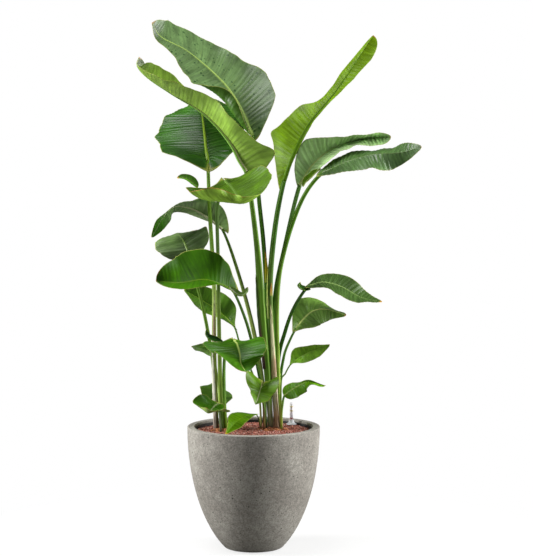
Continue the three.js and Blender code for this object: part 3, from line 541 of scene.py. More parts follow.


# ---- Leaf blades
# Leathery paddle-shaped blades, thin and slightly corrugated by the side veins that run from the
# midrib to the margin. The midrib is a pale flat strip above and a round keel below, and carries
# on from the stalk. Each leaf grew in one piece with its stalk.

# One entry a leaf, in mm and degrees. colours: the upper side, the underside, the midrib from
# above and the keel. shine and gloss: how strong and how rough the wax's reflection is. spots: a
# speckled upper side. wave: how far the margin waves. ribbed: how high the corrugation is.
# rib: the midrib from foot to tip. face: the way the upper side looks at the foot. right and left:
# for each half, at five stations from foot to tip, its width, the angle at which it opens from the
# rib and how far it curls on the way to its margin, or one number for all five. lobe: how far the
# margin sweeps back past the foot. round_foot and round_tip: the share of the rib over which each
# end is rounded off. lumps: bumps of the margin, each (side, u, mm, reach in u).
# painted_shade_and_light: patches of painted shade and painted highlight, darker and lighter, each
# (u, share, reach in u, reach in share, amount). fresh: bright green patches, in the same form.
# dry: dead stretches of the margin, each (side, from, to, mm deep). dry_tip: the dead share at the
# tip. stalk and radii: the leaf stalk from the roots up, and its radius along the way.
# stalk_colours: its top, its middle and its base.
LEAVES = [
    dict(
        name="upper_left",
        colours=["#5b7745", "#456d1c", "#9cb75c", "#3f6a1e"], shine=0.4, wave=4.0, spots=True,
        rib=[
            [-2, 68, 1150], [-37, 82, 1231], [-92, 96, 1306], [-184, 100, 1386],
            [-259, 86, 1426], [-283, 72, 1465],
        ],
        face=[0, -1, 0.2],
        right=dict(width=[70, 114, 106, 124, 130], open=[40, -15, -44, -60, -20], curl=[-20, 0, 10, 10, 10]),
        left=dict(width=[55, 98, 84, 42, 26], open=[0, 0, 5, 20, 30], curl=[140, 165, 62, 10, 0]),
        round_foot=0.16,
        lumps=[(1, 0.58, 5, 0.04), (1, 0.31, 10, 0.05)],
        lobe=0.12,
        stalk_colours=["#3a6a05", "#5c8a34", "#6a7a3a"],
        painted_shade_and_light=[
            (0.97, -0.2, 0.08, 0.8, -0.6), (0.12, 0.4, 0.12, 0.4, -0.35),
            (0.35, -0.9, 0.3, 0.3, -0.3), (0.3, 0.85, 0.15, 0.3, -0.25),
        ],
        stalk=[[49, 52, 300], [40, 54, 606], [29, 56, 831], [15, 60, 971], [-2, 68, 1150]],
        radii=[6.5, 6.5, 6.2, 6, 5.5],
    ),
    dict(
        name="long_left",
        colours=["#57731f", "#85a740", "#dadaa6", "#8bb951"], wave=2.5, ribbed=0.35,
        rib=[
            [-21, 5, 1052], [-62, -14, 1132], [-133, -32, 1209], [-222, -50, 1263],
            [-287, -60, 1305], [-316, -60, 1337], [-311, -58, 1363],
        ],
        face=[0.75, -0.1, 0.65],
        right=dict(width=[50, 50, 45, 70, 85], open=[60, 38, 30, 30, 35], curl=0),
        left=dict(width=[150, 120, 85, 80, 70], open=[80, 20, 30, 15, 10], curl=[0, 20, 20, 20, 0]),
        lumps=[(-1, 0.09, 36, 0.04), (1, 0.68, 10, 0.06)],
        round_tip=0.2,
        stalk_colours=["#4f7612", "#5f8a24", "#a5a688"],
        painted_shade_and_light=[(0.42, -0.4, 0.2, 0.6, 0.3), (1.0, 0, 0.06, 2, -0.4)],
        stalk=[[51, 36, 300], [38, 28, 482], [24, 24, 637], [9, 18, 847], [-21, 5, 1052]],
        radii=[7.5, 8.8, 11, 7.5, 6],
    ),
    dict(
        name="broad_back",
        colours=["#3a6a2c", "#2b560e", "#7f9a50", "#718d1e"],
        shine=0.35, wave=3.5, ribbed=1.5, gloss=0.3,
        rib=[
            [-128, 50, 1079], [-134, 90, 1116], [-142, 148, 1173], [-150, 218, 1217],
            [-158, 300, 1251],
        ],
        face=[0, 1, 0.1],
        right=dict(width=[120, 128, 132, 100, 95], open=[-40, -5, 0, -10, -5], curl=10),
        left=dict(width=[50, 95, 125, 110, 110], open=[0, 5, 10, 10, -15], curl=10),
        lobe=0.35,
        round_foot=0.12,
        lumps=[(1, 0.42, 10, 0.06)],
        stalk_colours=["#597f0d", "#d2da85", "#615e58"],
        painted_shade_and_light=[(0.85, 0.45, 0.18, 0.5, 0.9), (0.15, 0.5, 0.2, 0.5, -0.2), (0.5, 0.1, 0.3, 0.4, -0.4)],
        stalk=[[-103, 14, 300], [-110, 12, 554], [-110, 12, 730], [-122, 20, 940], [-128, 50, 1079]],
        radii=[6.5, 6.2, 6, 5.6, 4.8],
    ),
    dict(
        name="cup_front",
        colours=["#4e7013", "#97c142", "#658537", "#7fae3a"],
        shine=0.15, dry_colour="#7a4a2c", wave=2.5, ribbed=0.8,
        rib=[[-75, -35, 1025], [-61, -80, 1013], [-41, -140, 987], [-25, -193, 968], [-26, -227, 986]],
        face=[-0.1, -0.2, 1],
        right=dict(width=[30, 140, 145, 115, 60], open=[-35, -29, -24, -4, 20], curl=[20, 80, 80, 80, 60]),
        left=dict(width=[30, 96, 108, 100, 72], open=[-10, 18, 18, 18, -15], curl=30),
        stalk_colours=["#325105", "#799330", "#375b0e"],
        dry=[(1, 0.3, 0.95, 2.5)],
        painted_shade_and_light=[(0.4, 0.3, 0.25, 0.18, 0.6), (0.3, -0.4, 0.3, 0.2, -0.25)],
        stalk=[[-89, 6, 300], [-95, 2, 555], [-98, -6, 793], [-99, -14, 959], [-75, -35, 1025]],
        radii=[6, 6, 5.4, 5, 5],
    ),
    dict(
        name="folded_left",
        colours=["#3c6a30", "#647e48", "#8aa860", "#7b9649"], shine=0.4, wave=3.0, ribbed=1.2,
        rib=[[-175, 32, 793], [-184, 30, 829], [-196, 48, 856], [-208, 84, 869], [-218, 118, 876]],
        face=[0, 1, 0.3],
        right=dict(width=[80, 70, 80, 70, 70], open=[80, 0, -10, -20, -10], curl=0),
        left=dict(width=[75, 65, 75, 65, 75], open=[70, 30, 5, 15, 30], curl=0),
        lobe=0.4,
        stalk_colours=["#5d821d", "#557f1a", "#6a7a3a"],
        dry=[(-1, 0.5, 0.95, 5)],
        painted_shade_and_light=[(0.6, 0.35, 0.25, 0.25, 0.8), (0.2, 0, 0.2, 1, -0.35), (0.6, -0.5, 0.4, 0.3, -0.35)],
        stalk=[[-102, 28, 300], [-112, 27, 496], [-128, 28, 603], [-147, 30, 692], [-175, 32, 793]],
        radii=[5, 5, 5, 4.6, 4],
    ),
    dict(
        name="large_left",
        colours=["#3a6b02", "#7cab4c", "#66831d", "#7a9f4a"],
        dry_colour="#7a3a1c", shine=0.12, gloss=0.45, wave=2.0, ribbed=0.4,
        rib=[[-59, -30, 726], [-94, -60, 745], [-137, -80, 757], [-200, -88, 749], [-266, -82, 754]],
        face=[0, -0.85, 0.5],
        right=dict(width=[90, 75, 90, 78, 90], open=[-15, 20, -10, -5, 50], curl=[20, 20, 20, 20, 10]),
        left=dict(width=[20, 44, 44, 44, 20], open=[50, 60, 45, 50, 20], curl=-10),
        stalk_colours=["#2a5405", "#41680e", "#20270e"],
        painted_shade_and_light=[(0.14, 0.6, 0.16, 0.5, -0.55), (0.95, 0, 0.04, 1, -0.4)],
        dry=[(1, 0.93, 1.0, 4)],
        stalk=[[40, 17, 300], [22, 18, 447], [-3, 8, 569], [-26, -10, 651], [-59, -30, 726]],
        radii=[4.5, 4.5, 4.5, 4.2, 3.4],
    ),
    dict(
        name="drooping_front",
        colours=["#417608", "#a2c07a", "#c5da75", "#9dbb60"],
        dry_colour="#8a4a26", shine=0.2, wave=1.5, ribbed=0.5,
        rib=[[-53, -28, 586], [-43, -50, 572], [-37, -68, 549], [-34, -82, 526], [-20, -88, 503]],
        face=[0, -0.7, 0.7],
        right=dict(width=[60, 130, 85, 125, 110], open=[-15, 10, 20, 60, 75], curl=[50, 50, 20, 10, 10]),
        left=dict(width=[60, 75, 85, 80, 85], open=[-40, 15, 30, 30, -35], curl=10),
        lobe=0.1,
        stalk_colours=["#4f7a22", "#8abe53", "#8db42d"],
        dry=[(1, 0.78, 0.99, 3)],
        painted_shade_and_light=[(0.5, 0.5, 0.3, 0.4, -0.25), (0.8, -0.8, 0.2, 0.4, -0.4)],
        stalk=[[-76, 12, 300], [-82, 12, 413], [-82, 12, 520], [-73, 0, 561], [-53, -28, 586]],
        radii=[5.5, 5.2, 4.8, 4.2, 3.6],
    ),
    dict(
        name="arching_left",
        colours=["#24650f", "#85a167", "#9dbb60", "#dadab3"], shine=0.3, wave=2.0, ribbed=0.5,
        rib=[[-89, 85, 888], [-129, 84, 921], [-179, 76, 948], [-234, 58, 946], [-285, 34, 868]],
        face=[0, 0.8, 0.6],
        right=dict(width=[34, 34, 34, 42, 44], open=[60, 30, 20, 0, 5], curl=0),
        left=dict(width=[65, 70, 70, 65, 15], open=[60, -10, -40, -30, 15], curl=0),
        stalk_colours=["#446805", "#ccda7e", "#6a7a3a"],
        painted_shade_and_light=[(0.95, 0, 0.14, 2, -0.35), (0.45, 0.2, 0.2, 0.8, 0.25)],
        fresh=[(1.0, 0, 0.28, 2, 1.6), (0.35, -0.9, 0.3, 0.25, 0.5)],
        stalk=[[34, 33, 300], [26, 33, 450], [-2, 44, 612], [-46, 68, 774], [-89, 85, 888]],
        radii=[5.5, 5.8, 6, 5, 3.6],
    ),
    dict(
        name="middle_back",
        colours=["#65952a", "#4a7a30", "#b3d84c", "#7a9f4a"], wave=1.5,
        rib=[[-56, 85, 613], [-93, 88, 651], [-124, 92, 672], [-158, 92, 693], [-197, 88, 716]],
        face=[0, -0.9, 0.4],
        right=dict(width=[50, 50, 46, 38, 48], open=[-85, 20, 15, 15, 20], curl=0),
        left=dict(width=[34, 34, 34, 34, 32], open=[80, 50, 30, 40, 55], curl=0),
        stalk_colours=["#4f7a22", "#5f8c3a", "#dad485"],
        stalk=[[22, 40, 300], [15, 46, 423], [-10, 58, 498], [-39, 76, 564], [-56, 85, 613]],
        radii=[3, 3, 2.8, 2.6, 2.4],
    ),
    dict(
        name="small_left",
        colours=["#33602c", "#89b959", "#7a9f4a", "#74ab4a"], wave=1.0,
        rib=[[-115, 66, 548], [-129, 62, 551], [-143, 54, 555], [-159, 42, 559], [-174, 30, 562]],
        face=[0, 0.5, 0.8],
        right=dict(width=[48, 22, 26, 16, 10], open=[-50, -10, 5, 10, 5], curl=0),
        left=dict(width=[34, 22, 22, 16, 12], open=[85, 30, 15, 10, 5], curl=0),
        stalk_colours=["#4f7a22", "#c4da85", "#6a7a3a"],
        stalk=[[-87, 23, 300], [-102, 50, 465], [-115, 66, 548]],
        radii=[3, 2.8, 2.4],
    ),
    dict(
        name="low_back",
        colours=["#2c5f22", "#4e7521", "#7a9f4a", "#6a8f4a"], wave=1.5,
        rib=[[-95, 62, 384], [-99, 78, 407], [-103, 94, 428], [-111, 112, 443], [-120, 130, 446]],
        face=[0, 1, -0.2],
        right=dict(width=[36, 48, 50, 44, 12], open=[-60, -30, -25, -20, -5], curl=0),
        left=dict(width=[36, 42, 54, 62, 62], open=[-40, 25, 45, 55, 45], curl=0),
        lobe=0.1,
        dry_tip=0.02,
        stalk=[[-74, 28, 300], [-88, 42, 350], [-95, 62, 384]],
        radii=[3, 2.8, 2.4],
    ),
    dict(
        name="low_left",
        colours=["#3c6d04", "#90a956", "#99a577", "#9cbc7c"], shine=0.15, wave=2.0,
        rib=[
            [-100, -26, 407], [-108, -50, 405], [-116, -78, 398], [-124, -100, 392],
            [-127, -117, 409],
        ],
        face=[-0.1, -0.25, 1],
        right=dict(width=[34, 48, 56, 38, 20], open=[15, 40, 20, 25, 20], curl=20),
        left=dict(width=[50, 30, 56, 45, 10], open=[-20, -30, -10, 10, -30], curl=20),
        stalk_colours=["#4f7a22", "#5f8c3a", "#788263"],
        stalk=[[-90, -13, 300], [-93, -18, 364], [-100, -26, 407]],
        radii=[3, 2.8, 2.4],
    ),
    dict(
        name="rim_front",
        colours=["#578401", "#6fa83a", "#678e13", "#7fae3a"],
        dry_colour="#c8b020", shine=0.12, wave=1.2,
        rib=[[7, 10, 373], [-13, -20, 375], [-37, -58, 370], [-58, -98, 356], [-76, -135, 340]],
        face=[0, -0.6, 0.8],
        right=dict(width=[52, 28, 28, 20, 8], open=[-25, -5, 10, 40, 65], curl=0),
        left=dict(width=[6, 16, 22, 22, 14], open=10, curl=0),
        dry_tip=0.05,
        stalk=[[22, 27, 300], [16, 20, 349], [7, 10, 373]],
        radii=[1.8, 1.7, 1.6],
    ),
    dict(
        name="heart_front",
        colours=["#628e12", "#7fae50", "#dadaac", "#8ab85a"], shine=0.2, wave=1.5,
        rib=[[22, -30, 455], [19, -52, 450], [14, -70, 437], [10, -82, 425], [6, -90, 415]],
        face=[0, -0.7, 0.7],
        right=dict(width=[42, 70, 32, 24, 14], open=[50, 55, 35, 45, 50], curl=0),
        left=dict(width=[34, 70, 38, 30, 12], open=[35, 45, 10, 0, 15], curl=0),
        lobe=0.6,
        stalk_colours=["#4f7a22", "#5f8c3a", "#73452d"],
        painted_shade_and_light=[(0.5, 0.4, 0.18, 0.3, 0.35), (0.25, -0.3, 0.15, 0.3, -0.2)],
        stalk=[[30, 12, 300], [28, -6, 402], [22, -30, 455]],
        radii=[3.5, 3.6, 3.4],
    ),
    dict(
        name="tall_right",
        colours=["#86ad4c", "#6b8f08", "#8aa850", "#4d7106"], shine=0.15, wave=1.5, ribbed=0.4,
        rib=[[85, 55, 1024], [112, 62, 1099], [158, 72, 1186], [239, 78, 1286], [334, 62, 1429]],
        face=[0, 1, 0],
        right=dict(width=[95, 95, 28, 27, 26], open=[65, 30, 30, 30, 40], curl=[0, 0, 20, 30, 30]),
        left=dict(width=[40, 26, 18, 34, 92], open=[75, 72, 62, 35, 10], curl=[0, 0, 20, 20, 20]),
        lumps=[(1, 0.42, 12, 0.05), (1, 0.3, -9, 0.05), (1, 0.22, 12, 0.03)],
        stalk_colours=["#335f05", "#8fa85a", "#8a7460"],
        stalk=[[66, 30, 300], [56, 36, 495], [46, 40, 720], [60, 48, 893], [85, 55, 1024]],
        radii=[7, 7.4, 7.6, 7.4, 6.4],
    ),
    dict(
        name="broad_right",
        colours=["#b8da98", "#7da838", "#cfda90", "#8ab050"], shine=0.5, wave=2.5, ribbed=0.9,
        rib=[[130, 95, 1012], [164, 105, 1065], [221, 115, 1113], [300, 118, 1140], [387, 105, 1148]],
        face=[0, -0.9, 0.4],
        right=dict(width=[45, 66, 70, 65, 60], open=[50, 55, 60, 55, 15], curl=0),
        left=dict(width=[55, 72, 45, 60, 40], open=[30, 30, 75, 95, 60], curl=0),
        lobe=0.1,
        stalk_colours=["#2f5d05", "#62b51b", "#6a7a3a"],
        painted_shade_and_light=[(0.5, 0.6, 0.25, 0.5, -0.25), (0.4, -0.6, 0.3, 0.5, 0.1)],
        fresh=[(0.95, 0, 0.25, 2, 0.55)],
        stalk=[[66, 47, 300], [59, 57, 492], [60, 64, 690], [88, 78, 844], [130, 95, 1012]],
        radii=[6.5, 7, 7.2, 5.6, 6],
    ),
    dict(
        name="outer_right",
        colours=["#4f7237", "#5f8a48", "#4d6e20", "#7a9f4a"], shine=0.6, wave=3.0, ribbed=1.2,
        rib=[[191, 45, 1046], [254, 35, 1076], [329, 22, 1098], [405, 8, 1103], [464, -5, 1119]],
        face=[0, -0.7, 0.7],
        right=dict(width=[60, 55, 60, 40, 30], open=[30, 15, 10, -40, -10], curl=0),
        left=dict(width=[60, 45, 60, 60, 35], open=[-20, -15, -40, -25, 20], curl=0),
        stalk_colours=["#45700a", "#a1c04e", "#a0905c"],
        painted_shade_and_light=[(0.08, 0, 0.14, 2, -0.5), (0.5, -0.5, 0.3, 0.4, 0.15)],
        stalk=[
            [79, 40, 300], [69, 44, 494], [67, 46, 705], [88, 54, 837], [135, 50, 971],
            [191, 45, 1046],
        ],
        radii=[5.5, 5.5, 5.5, 6, 6, 5],
    ),
    dict(
        name="arching_right",
        colours=["#436127", "#5f8a4c", "#819c57", "#7a9f4a"],
        dry_colour="#b08a30", wave=2.0, ribbed=0.6,
        rib=[[156, 80, 728], [196, 90, 738], [247, 95, 725], [303, 88, 695], [362, 76, 683]],
        face=[0, -0.6, 0.8],
        right=dict(width=[54, 54, 54, 54, 52], open=[25, 15, 10, 20, 25], curl=0),
        left=dict(width=[38, 40, 40, 34, 32], open=[-30, 5, 20, 5, -15], curl=0),
        stalk_colours=["#2d5f05", "#25470e", "#6a7a3a"],
        dry_tip=0.04,
        stalk=[[64, 63, 300], [68, 70, 505], [89, 62, 602], [116, 62, 673], [156, 80, 728]],
        radii=[5, 5.4, 5.6, 5, 4],
    ),
    dict(
        name="middle_right",
        colours=["#688d38", "#4f803c", "#cbda7e", "#7a9f4a"], wave=1.5, ribbed=0.5,
        rib=[[120, 98, 606], [140, 103, 631], [168, 104, 655], [207, 98, 660], [261, 88, 644]],
        face=[0, -0.9, 0.4],
        right=dict(width=[46, 46, 42, 34, 26], open=[60, 0, 5, 25, 40], curl=0),
        left=dict(width=[36, 50, 50, 32, 48], open=[-45, 5, -55, -75, -65], curl=0),
        stalk_colours=["#4f7a22", "#3b640e", "#6a7a3a"],
        dry_tip=0.03,
        stalk=[[78, 56, 300], [75, 64, 449], [85, 78, 527], [100, 90, 568], [120, 98, 606]],
        radii=[4.5, 4.4, 4.2, 3.8, 3],
    ),
    dict(
        name="small_right",
        colours=["#77a82c", "#5f9040", "#8cb640", "#7a9f4a"], shine=0.2, wave=1.5,
        rib=[[103, 20, 512], [121, 8, 529], [149, -4, 547], [179, -14, 560], [211, -22, 573]],
        face=[0, -0.9, 0.4],
        right=dict(width=[6, 24, 24, 20, 16], open=[70, 40, 5, -5, -15], curl=0),
        left=dict(width=[24, 30, 24, 20, 10], open=[-30, 25, 45, 60, 70], curl=0),
        lobe=0.1,
        stalk_colours=["#4f7a22", "#6e8b1d", "#6a7a3a"],
        stalk=[[79, 27, 300], [77, 24, 457], [88, 22, 485], [103, 20, 512]],
        radii=[2.5, 2.4, 2.2, 2],
    ),
    dict(
        name="low_right",
        colours=["#5a8e0a", "#5f9638", "#95b352", "#7a9f4a"], shine=0.15, wave=1.5,
        rib=[[86, -5, 428], [101, -20, 443], [126, -35, 460], [153, -45, 472], [199, -58, 463]],
        face=[0, -0.9, 0.5],
        right=dict(width=[38, 30, 28, 44, 44], open=[-15, 5, 10, 70, 60], curl=0),
        left=dict(width=[42, 20, 6, 6, 6], open=[20, -5, 5, 65, 100], curl=0),
        lobe=0.05,
        stalk_colours=["#4f7a22", "#5f8c3a", "#919e32"],
        stalk=[[77, 16, 300], [78, 10, 371], [81, 2, 403], [86, -5, 428]],
        radii=[3, 3.2, 3.2, 3],
    ),
]

# Torn or rolled lobes at the foot or tip of a leaf, each a small blade of its own with no stalk.
CURLS = [
    dict(
        name="large_left_auricle", colours=["#86b04e", "#7ba648", "#dadac1", "#86ab58"], wave=0.4,
        rib=[[-67, -36, 734], [-48, -40, 717], [-31, -44, 712], [-18, -46, 721], [-15, -46, 734]],
        face=[0, -0.8, 0.6],
        right=dict(width=[6, 8, 7, 7, 9], open=10, curl=40),
        left=dict(width=[10, 11, 8, 7, 9], open=10, curl=40),
        radii=[1.6], lobe=0.0, round_tip=0.12,
    ),
    dict(
        name="arching_right_lobe", colours=["#5a8f3a", "#74a84c", "#7a9f4a", "#8ab05a"], wave=0.6,
        rib=[[160, 78, 719], [144, 74, 716], [130, 72, 721], [123, 70, 731], [131, 70, 740]],
        face=[0, -0.7, 0.7],
        right=dict(width=[14, 13, 12, 11, 9], open=20, curl=60),
        left=dict(width=[8, 10, 10, 10, 9], open=20, curl=60),
        radii=[1.6], lobe=0.0, round_tip=0.15,
    ),
    dict(
        name="cup_front_tip", colours=["#639e2e", "#2c5a14", "#6f7a38", "#3c6a1c"], wave=0.6,
        rib=[
            [-152, -60, 1008], [-165, -64, 1022], [-182, -66, 1033], [-196, -66, 1036],
            [-208, -64, 1034],
        ],
        face=[0, -0.8, 0.6],
        right=dict(width=[16, 14, 13, 9, 7], open=10, curl=50),
        left=dict(width=[14, 13, 10, 7, 6], open=10, curl=50),
        radii=[1.2], lobe=0.0, round_tip=0.2, dry_tip=0.09, dry_colour="#b8a83a",
    ),
    dict(
        name="broad_right_lobe", colours=["#79a128", "#9dbb5a", "#b4c878", "#9dbb60"], wave=1.0,
        rib=[[138, 70, 1008], [147, 66, 1022], [159, 64, 1033], [173, 64, 1047], [189, 66, 1058]],
        face=[0, -0.7, 0.7],
        right=dict(width=[9, 13, 14, 11, 7], open=20, curl=80),
        left=dict(width=[9, 12, 12, 10, 7], open=20, curl=60),
        radii=[1.6], lobe=0.0,
    ),
    dict(
        name="drooping_front_curl", colours=["#24500f", "#2f5c18", "#245d03", "#3c6a1c"], wave=0.6,
        rib=[[-84, -50, 583], [-108, -52, 590], [-124, -54, 596], [-131, -56, 606], [-130, -56, 618]],
        face=[0, -0.8, 0.6],
        right=dict(width=[9, 10, 10, 9, 8], open=10, curl=60),
        left=dict(width=[12, 12, 12, 9, 8], open=10, curl=60),
        radii=[1.6], lobe=0.0, round_tip=0.15,
    ),
]
USUAL = dict(  # what holds for a leaf that doesn't say otherwise
    shine=0.3, gloss=0.36, ribbed=0.4, lobe=0.3, round_foot=0.3, round_tip=0.3, lumps=(),
    painted_shade_and_light=(), fresh=(), dry=(), dry_tip=0.012, dry_colour="#8a5a26", spots=False,
    stalk_colours=["#4f7a22", "#5f8c3a", "#6a7a3a"],
)
SWEEP = 0.12  # how far a margin lies ahead of its place on the rib, as a share of the width
LOBE_REACH = 0.35  # share of the rib along which the lobes sweep back past the foot
BLADE_THICKNESS = 0.9
MARGIN_THICKNESS = 0.5
ROW_PITCH = 2.3
VEIN_PITCH = 11.5  # from one corrugation of the side veins to the next
VEIN_LEAN = 0.22  # how far a side vein runs towards the tip for each mm out from the rib
VEIN_STRAY = (2.2, 60)  # radians by which the corrugation strays, and over how many mm
MARGIN_STRAY = (0.012, 34)  # share of the width by which the margin strays, and over how many mm
WAVE_PITCH = (62, 95)  # of the margin's waves, and of slower ones that reach the rib
RIBBED_FROM, WAVY_FROM = 25, 40  # widths at which the corrugation and the waves are full
HALF_COLUMNS = 28
KEEL_SIDES = 14
KEEL_OVERLAP = 0.75  # how far the keel's rings stand up into the blade
MIDRIB_SHARE = 0.5  # half width of the pale strip above the rib, as a share of the keel's radius
FAR = 99.0  # mm from the margin, on the keel

for leaf in LEAVES + CURLS:
    for key, value in USUAL.items():
        leaf.setdefault(key, value)


def catmull(points, t):
    """A uniform Catmull-Rom curve at t from 0 to 1: between two neighbouring points a cubic whose
    slope at each is half the step between the points on either side of it. Past the ends the
    curve is mirrored through its end point."""
    points = np.asarray(points, float)
    points = np.concatenate([2 * points[:1] - points[1:2], points, 2 * points[-1:] - points[-2:-1]])
    x = np.clip(t, 0, 1) * (len(points) - 3)
    i = np.minimum(x.astype(int), len(points) - 4)
    f = (x - i).reshape(np.shape(x) + (1,) * (points.ndim - 1))
    a, b, c, d = (points[i + n] for n in range(4))
    return b + f / 2 * (c - a + f * (2 * a - 5 * b + 4 * c - d + f * (3 * (b - c) + d - a)))


def unit(vectors):
    """Vectors scaled to a length of 1."""
    return vectors / np.linalg.norm(vectors, axis=-1, keepdims=True)


def carried(points, face, u, until=1.0):
    """Points, tangents, sideways and upper-side directions at shares u of the length of the curve
    through the points, up to its parameter until. The directions start square to face and are
    carried along the curve without twisting. Also returns the length."""
    t = np.linspace(0, until, 500)
    fine = catmull(points, t)
    length = np.concatenate([[0], np.cumsum(np.linalg.norm(np.diff(fine, axis=0), axis=1))])
    stations = np.linspace(0, 1, 61)
    places = catmull(points, np.interp(stations, length / length[-1], t))
    tangents = unit(np.gradient(places, axis=0))
    sides = [unit(np.cross(tangents[0], face))]
    for tangent in tangents[1:]:
        sides.append(unit(sides[-1] - sides[-1] @ tangent * tangent))
    sides = np.array(sides)
    place = catmull(points, np.interp(u, length / length[-1], t))
    tangent = unit(np.stack([np.interp(u, stations, tangents[:, n]) for n in range(3)], -1))
    side = np.stack([np.interp(u, stations, sides[:, n]) for n in range(3)], -1)
    side = unit(side - (side * tangent).sum(-1, keepdims=True) * tangent)
    return place, tangent, side, np.cross(side, tangent), length[-1]


def half_width(leaf, half, u):
    """How wide one half of the blade is at u: a smooth curve through its five widths, rounded off
    as a root of u over the first share of the rib, and of 1 - u over the last."""
    foot = np.clip(u / leaf["round_foot"], 0, 1) ** 0.5
    tip = np.clip((1 - u) / leaf["round_tip"], 0, 1) ** 0.6
    return catmull(half["width"], u) * foot * tip + 1.0


def ripple(x, wavelength, random):
    """A smooth uneven wave between about -1 and 1: four sines with lengths round the wavelength
    and seeded phases."""
    lengths = wavelength * np.array([0.7, 1.0, 1.37, 1.9])
    phases = random.uniform(0, 2 * np.pi, 4)
    waves = np.sin(2 * np.pi * x[..., None] / lengths + phases)
    return (waves * [0.25, 0.4, 0.3, 0.25]).sum(-1)


def ease(x):
    """0 below 0, 1 above 1, and a smooth step between."""
    x = np.clip(x, 0, 1)
    return x * x * (3 - 2 * x)


def grid_normals(points):
    """Directions square to a grid of points: columns cross rows."""
    return unit(np.cross(np.gradient(points, axis=1), np.gradient(points, axis=0)))


def shell_faces(rows, columns):
    """Faces of a closed shell: a grid above, the same grid below, and the four edges between."""
    size = rows * columns
    i, j = np.arange(rows - 1), np.arange(columns - 1)
    left, right = i * columns, i * columns + columns - 1
    last = size - columns + j
    below = grid_quads(rows, columns, start=size)[:, ::-1]
    return [
        grid_quads(rows, columns),
        below,
        np.stack([left, left + columns, size + left + columns, size + left], -1),
        np.stack([right, size + right, size + right + columns, right + columns], -1),
        np.stack([j, size + j, size + j + 1, j + 1], -1),
        np.stack([last, last + 1, size + last + 1, size + last], -1),
    ]


def tube(centres, sides, ups, radius, count):
    """Rings of count points round a line of centres: each ring is cosine sideways and sine up,
    times its radius (one for each ring, or one for each point). Closed at both ends by a fan."""
    angle = np.linspace(0, 2 * np.pi, count, endpoint=False)
    across = np.cos(angle)[None, :, None] * sides[:, None] + np.sin(angle)[None, :, None] * ups[:, None]
    rings = centres[:, None] + across * radius[..., None]
    points = np.vstack([rings.reshape(-1, 3), centres[:1], centres[-1:]])
    ring = np.arange(count)
    last = ring + (len(centres) - 1) * count
    ends = [fan(len(points) - 2, ring)[:, ::-1], fan(len(points) - 1, last)]
    return points, [grid_quads(len(centres), count, wrap=True), *ends]


def through_five(values, u):
    """A smooth curve at u through a value at each of the five stations, or one value for all."""
    return catmull(np.broadcast_to(values, 5), u)


def bumps(places, side, u):
    """The sum of smooth bumps along the margin, each (side, u, height in mm, reach in u)."""
    total = np.zeros(len(u))
    for which, middle, height, reach in places:
        if which == side:
            total += height * np.exp(-(((u - middle) / reach) ** 2))
    return total


def blade_surface(leaf, u, v, side, run, random):
    """One half of the blade's middle surface, as rows along the rib by columns out to the margin,
    v from 0 to 1: each row leaves the rib at its opening angle and bends by its curl along an arc,
    the margin is swept ahead, and the lobes at the foot are swept back. Returns the points, the
    distance of each from the rib, how far each is offset square to the blade, by corrugation that
    fades in from the rib and by waves that grow towards the margin, the corrugation alone, and
    the place of each along the run of the side veins."""
    place, tangent, sideways, up, _ = carried(leaf["rib"], leaf["face"], u)
    half = leaf["right" if side > 0 else "left"]
    q = u * run
    stray, pitch = MARGIN_STRAY
    width = half_width(leaf, half, u) * (1 + stray * ripple(q, pitch, random))
    width = np.maximum(width + bumps(leaf["lumps"], side, u), 0.8)
    start = np.radians(through_five(half["open"], u))[:, None]
    turn = np.radians(through_five(half["curl"], u))[:, None]
    turn = np.where(np.abs(turn) < 1e-3, 1e-3, turn)
    across = width[:, None] * v
    out = width[:, None] * (np.sin(start + turn * v) - np.sin(start)) / turn
    rise = width[:, None] * (np.cos(start) - np.cos(start + turn * v)) / turn
    near_foot = np.clip(1 - u / LOBE_REACH, 0, 1)[:, None]
    ahead = SWEEP * across * v - leaf["lobe"] * max(half["width"]) * near_foot**2 * v**3
    points = place[:, None] + side * out[..., None] * sideways[:, None]
    points = points + rise[..., None] * up[:, None] + ahead[..., None] * tangent[:, None]
    vein = q[:, None] - VEIN_LEAN * across * (1 - 0.3 * v)
    stray, pitch = VEIN_STRAY
    phase = 2 * np.pi * vein / VEIN_PITCH + stray * ripple(vein, pitch, random)
    corrugation = np.sin(phase) * ease(v / 0.12) * (1 - 0.55 * v**2)
    corrugation = corrugation * ease(width / RIBBED_FROM)[:, None]
    quick, slow = (ripple(q, pitch, random)[:, None] for pitch in WAVE_PITCH)
    wave = (quick * v**3 + 0.4 * slow * v) * ease(width / WAVY_FROM)[:, None]
    offset = leaf["ribbed"] * corrugation + leaf["wave"] * wave
    return points, across, offset, corrugation, vein


def patches_at(places, u, across_share):
    """The sum, at u and across_share (-1 at the left margin, 1 at the right), of soft patches, each
    (u, share, reach in u, reach in share, amount)."""
    total = np.zeros(across_share.shape)
    for middle, share, reach, share_reach, amount in places:
        far = ((u[:, None] - middle) / reach) ** 2 + ((across_share - share) / share_reach) ** 2
        total += amount * np.exp(-far)
    return total


def dry_share(leaf, side, u, to_margin):
    """How dry and brown each point is: 1 at the margin along the stretches that the leaf lists as
    (side, from, to, how far in), falling to 0 inwards, and at a dry tip."""
    share = np.zeros(to_margin.shape)
    for which, start, end, depth in leaf["dry"]:
        if which == side:
            stretch = ease((u - start) / 0.03) * ease((end - u) / 0.03)
            share = np.maximum(share, stretch[:, None] * ease(1.2 - to_margin / depth))
    tip = ease((u - 1 + leaf["dry_tip"]) / 0.012)
    return np.maximum(share, tip[:, None])


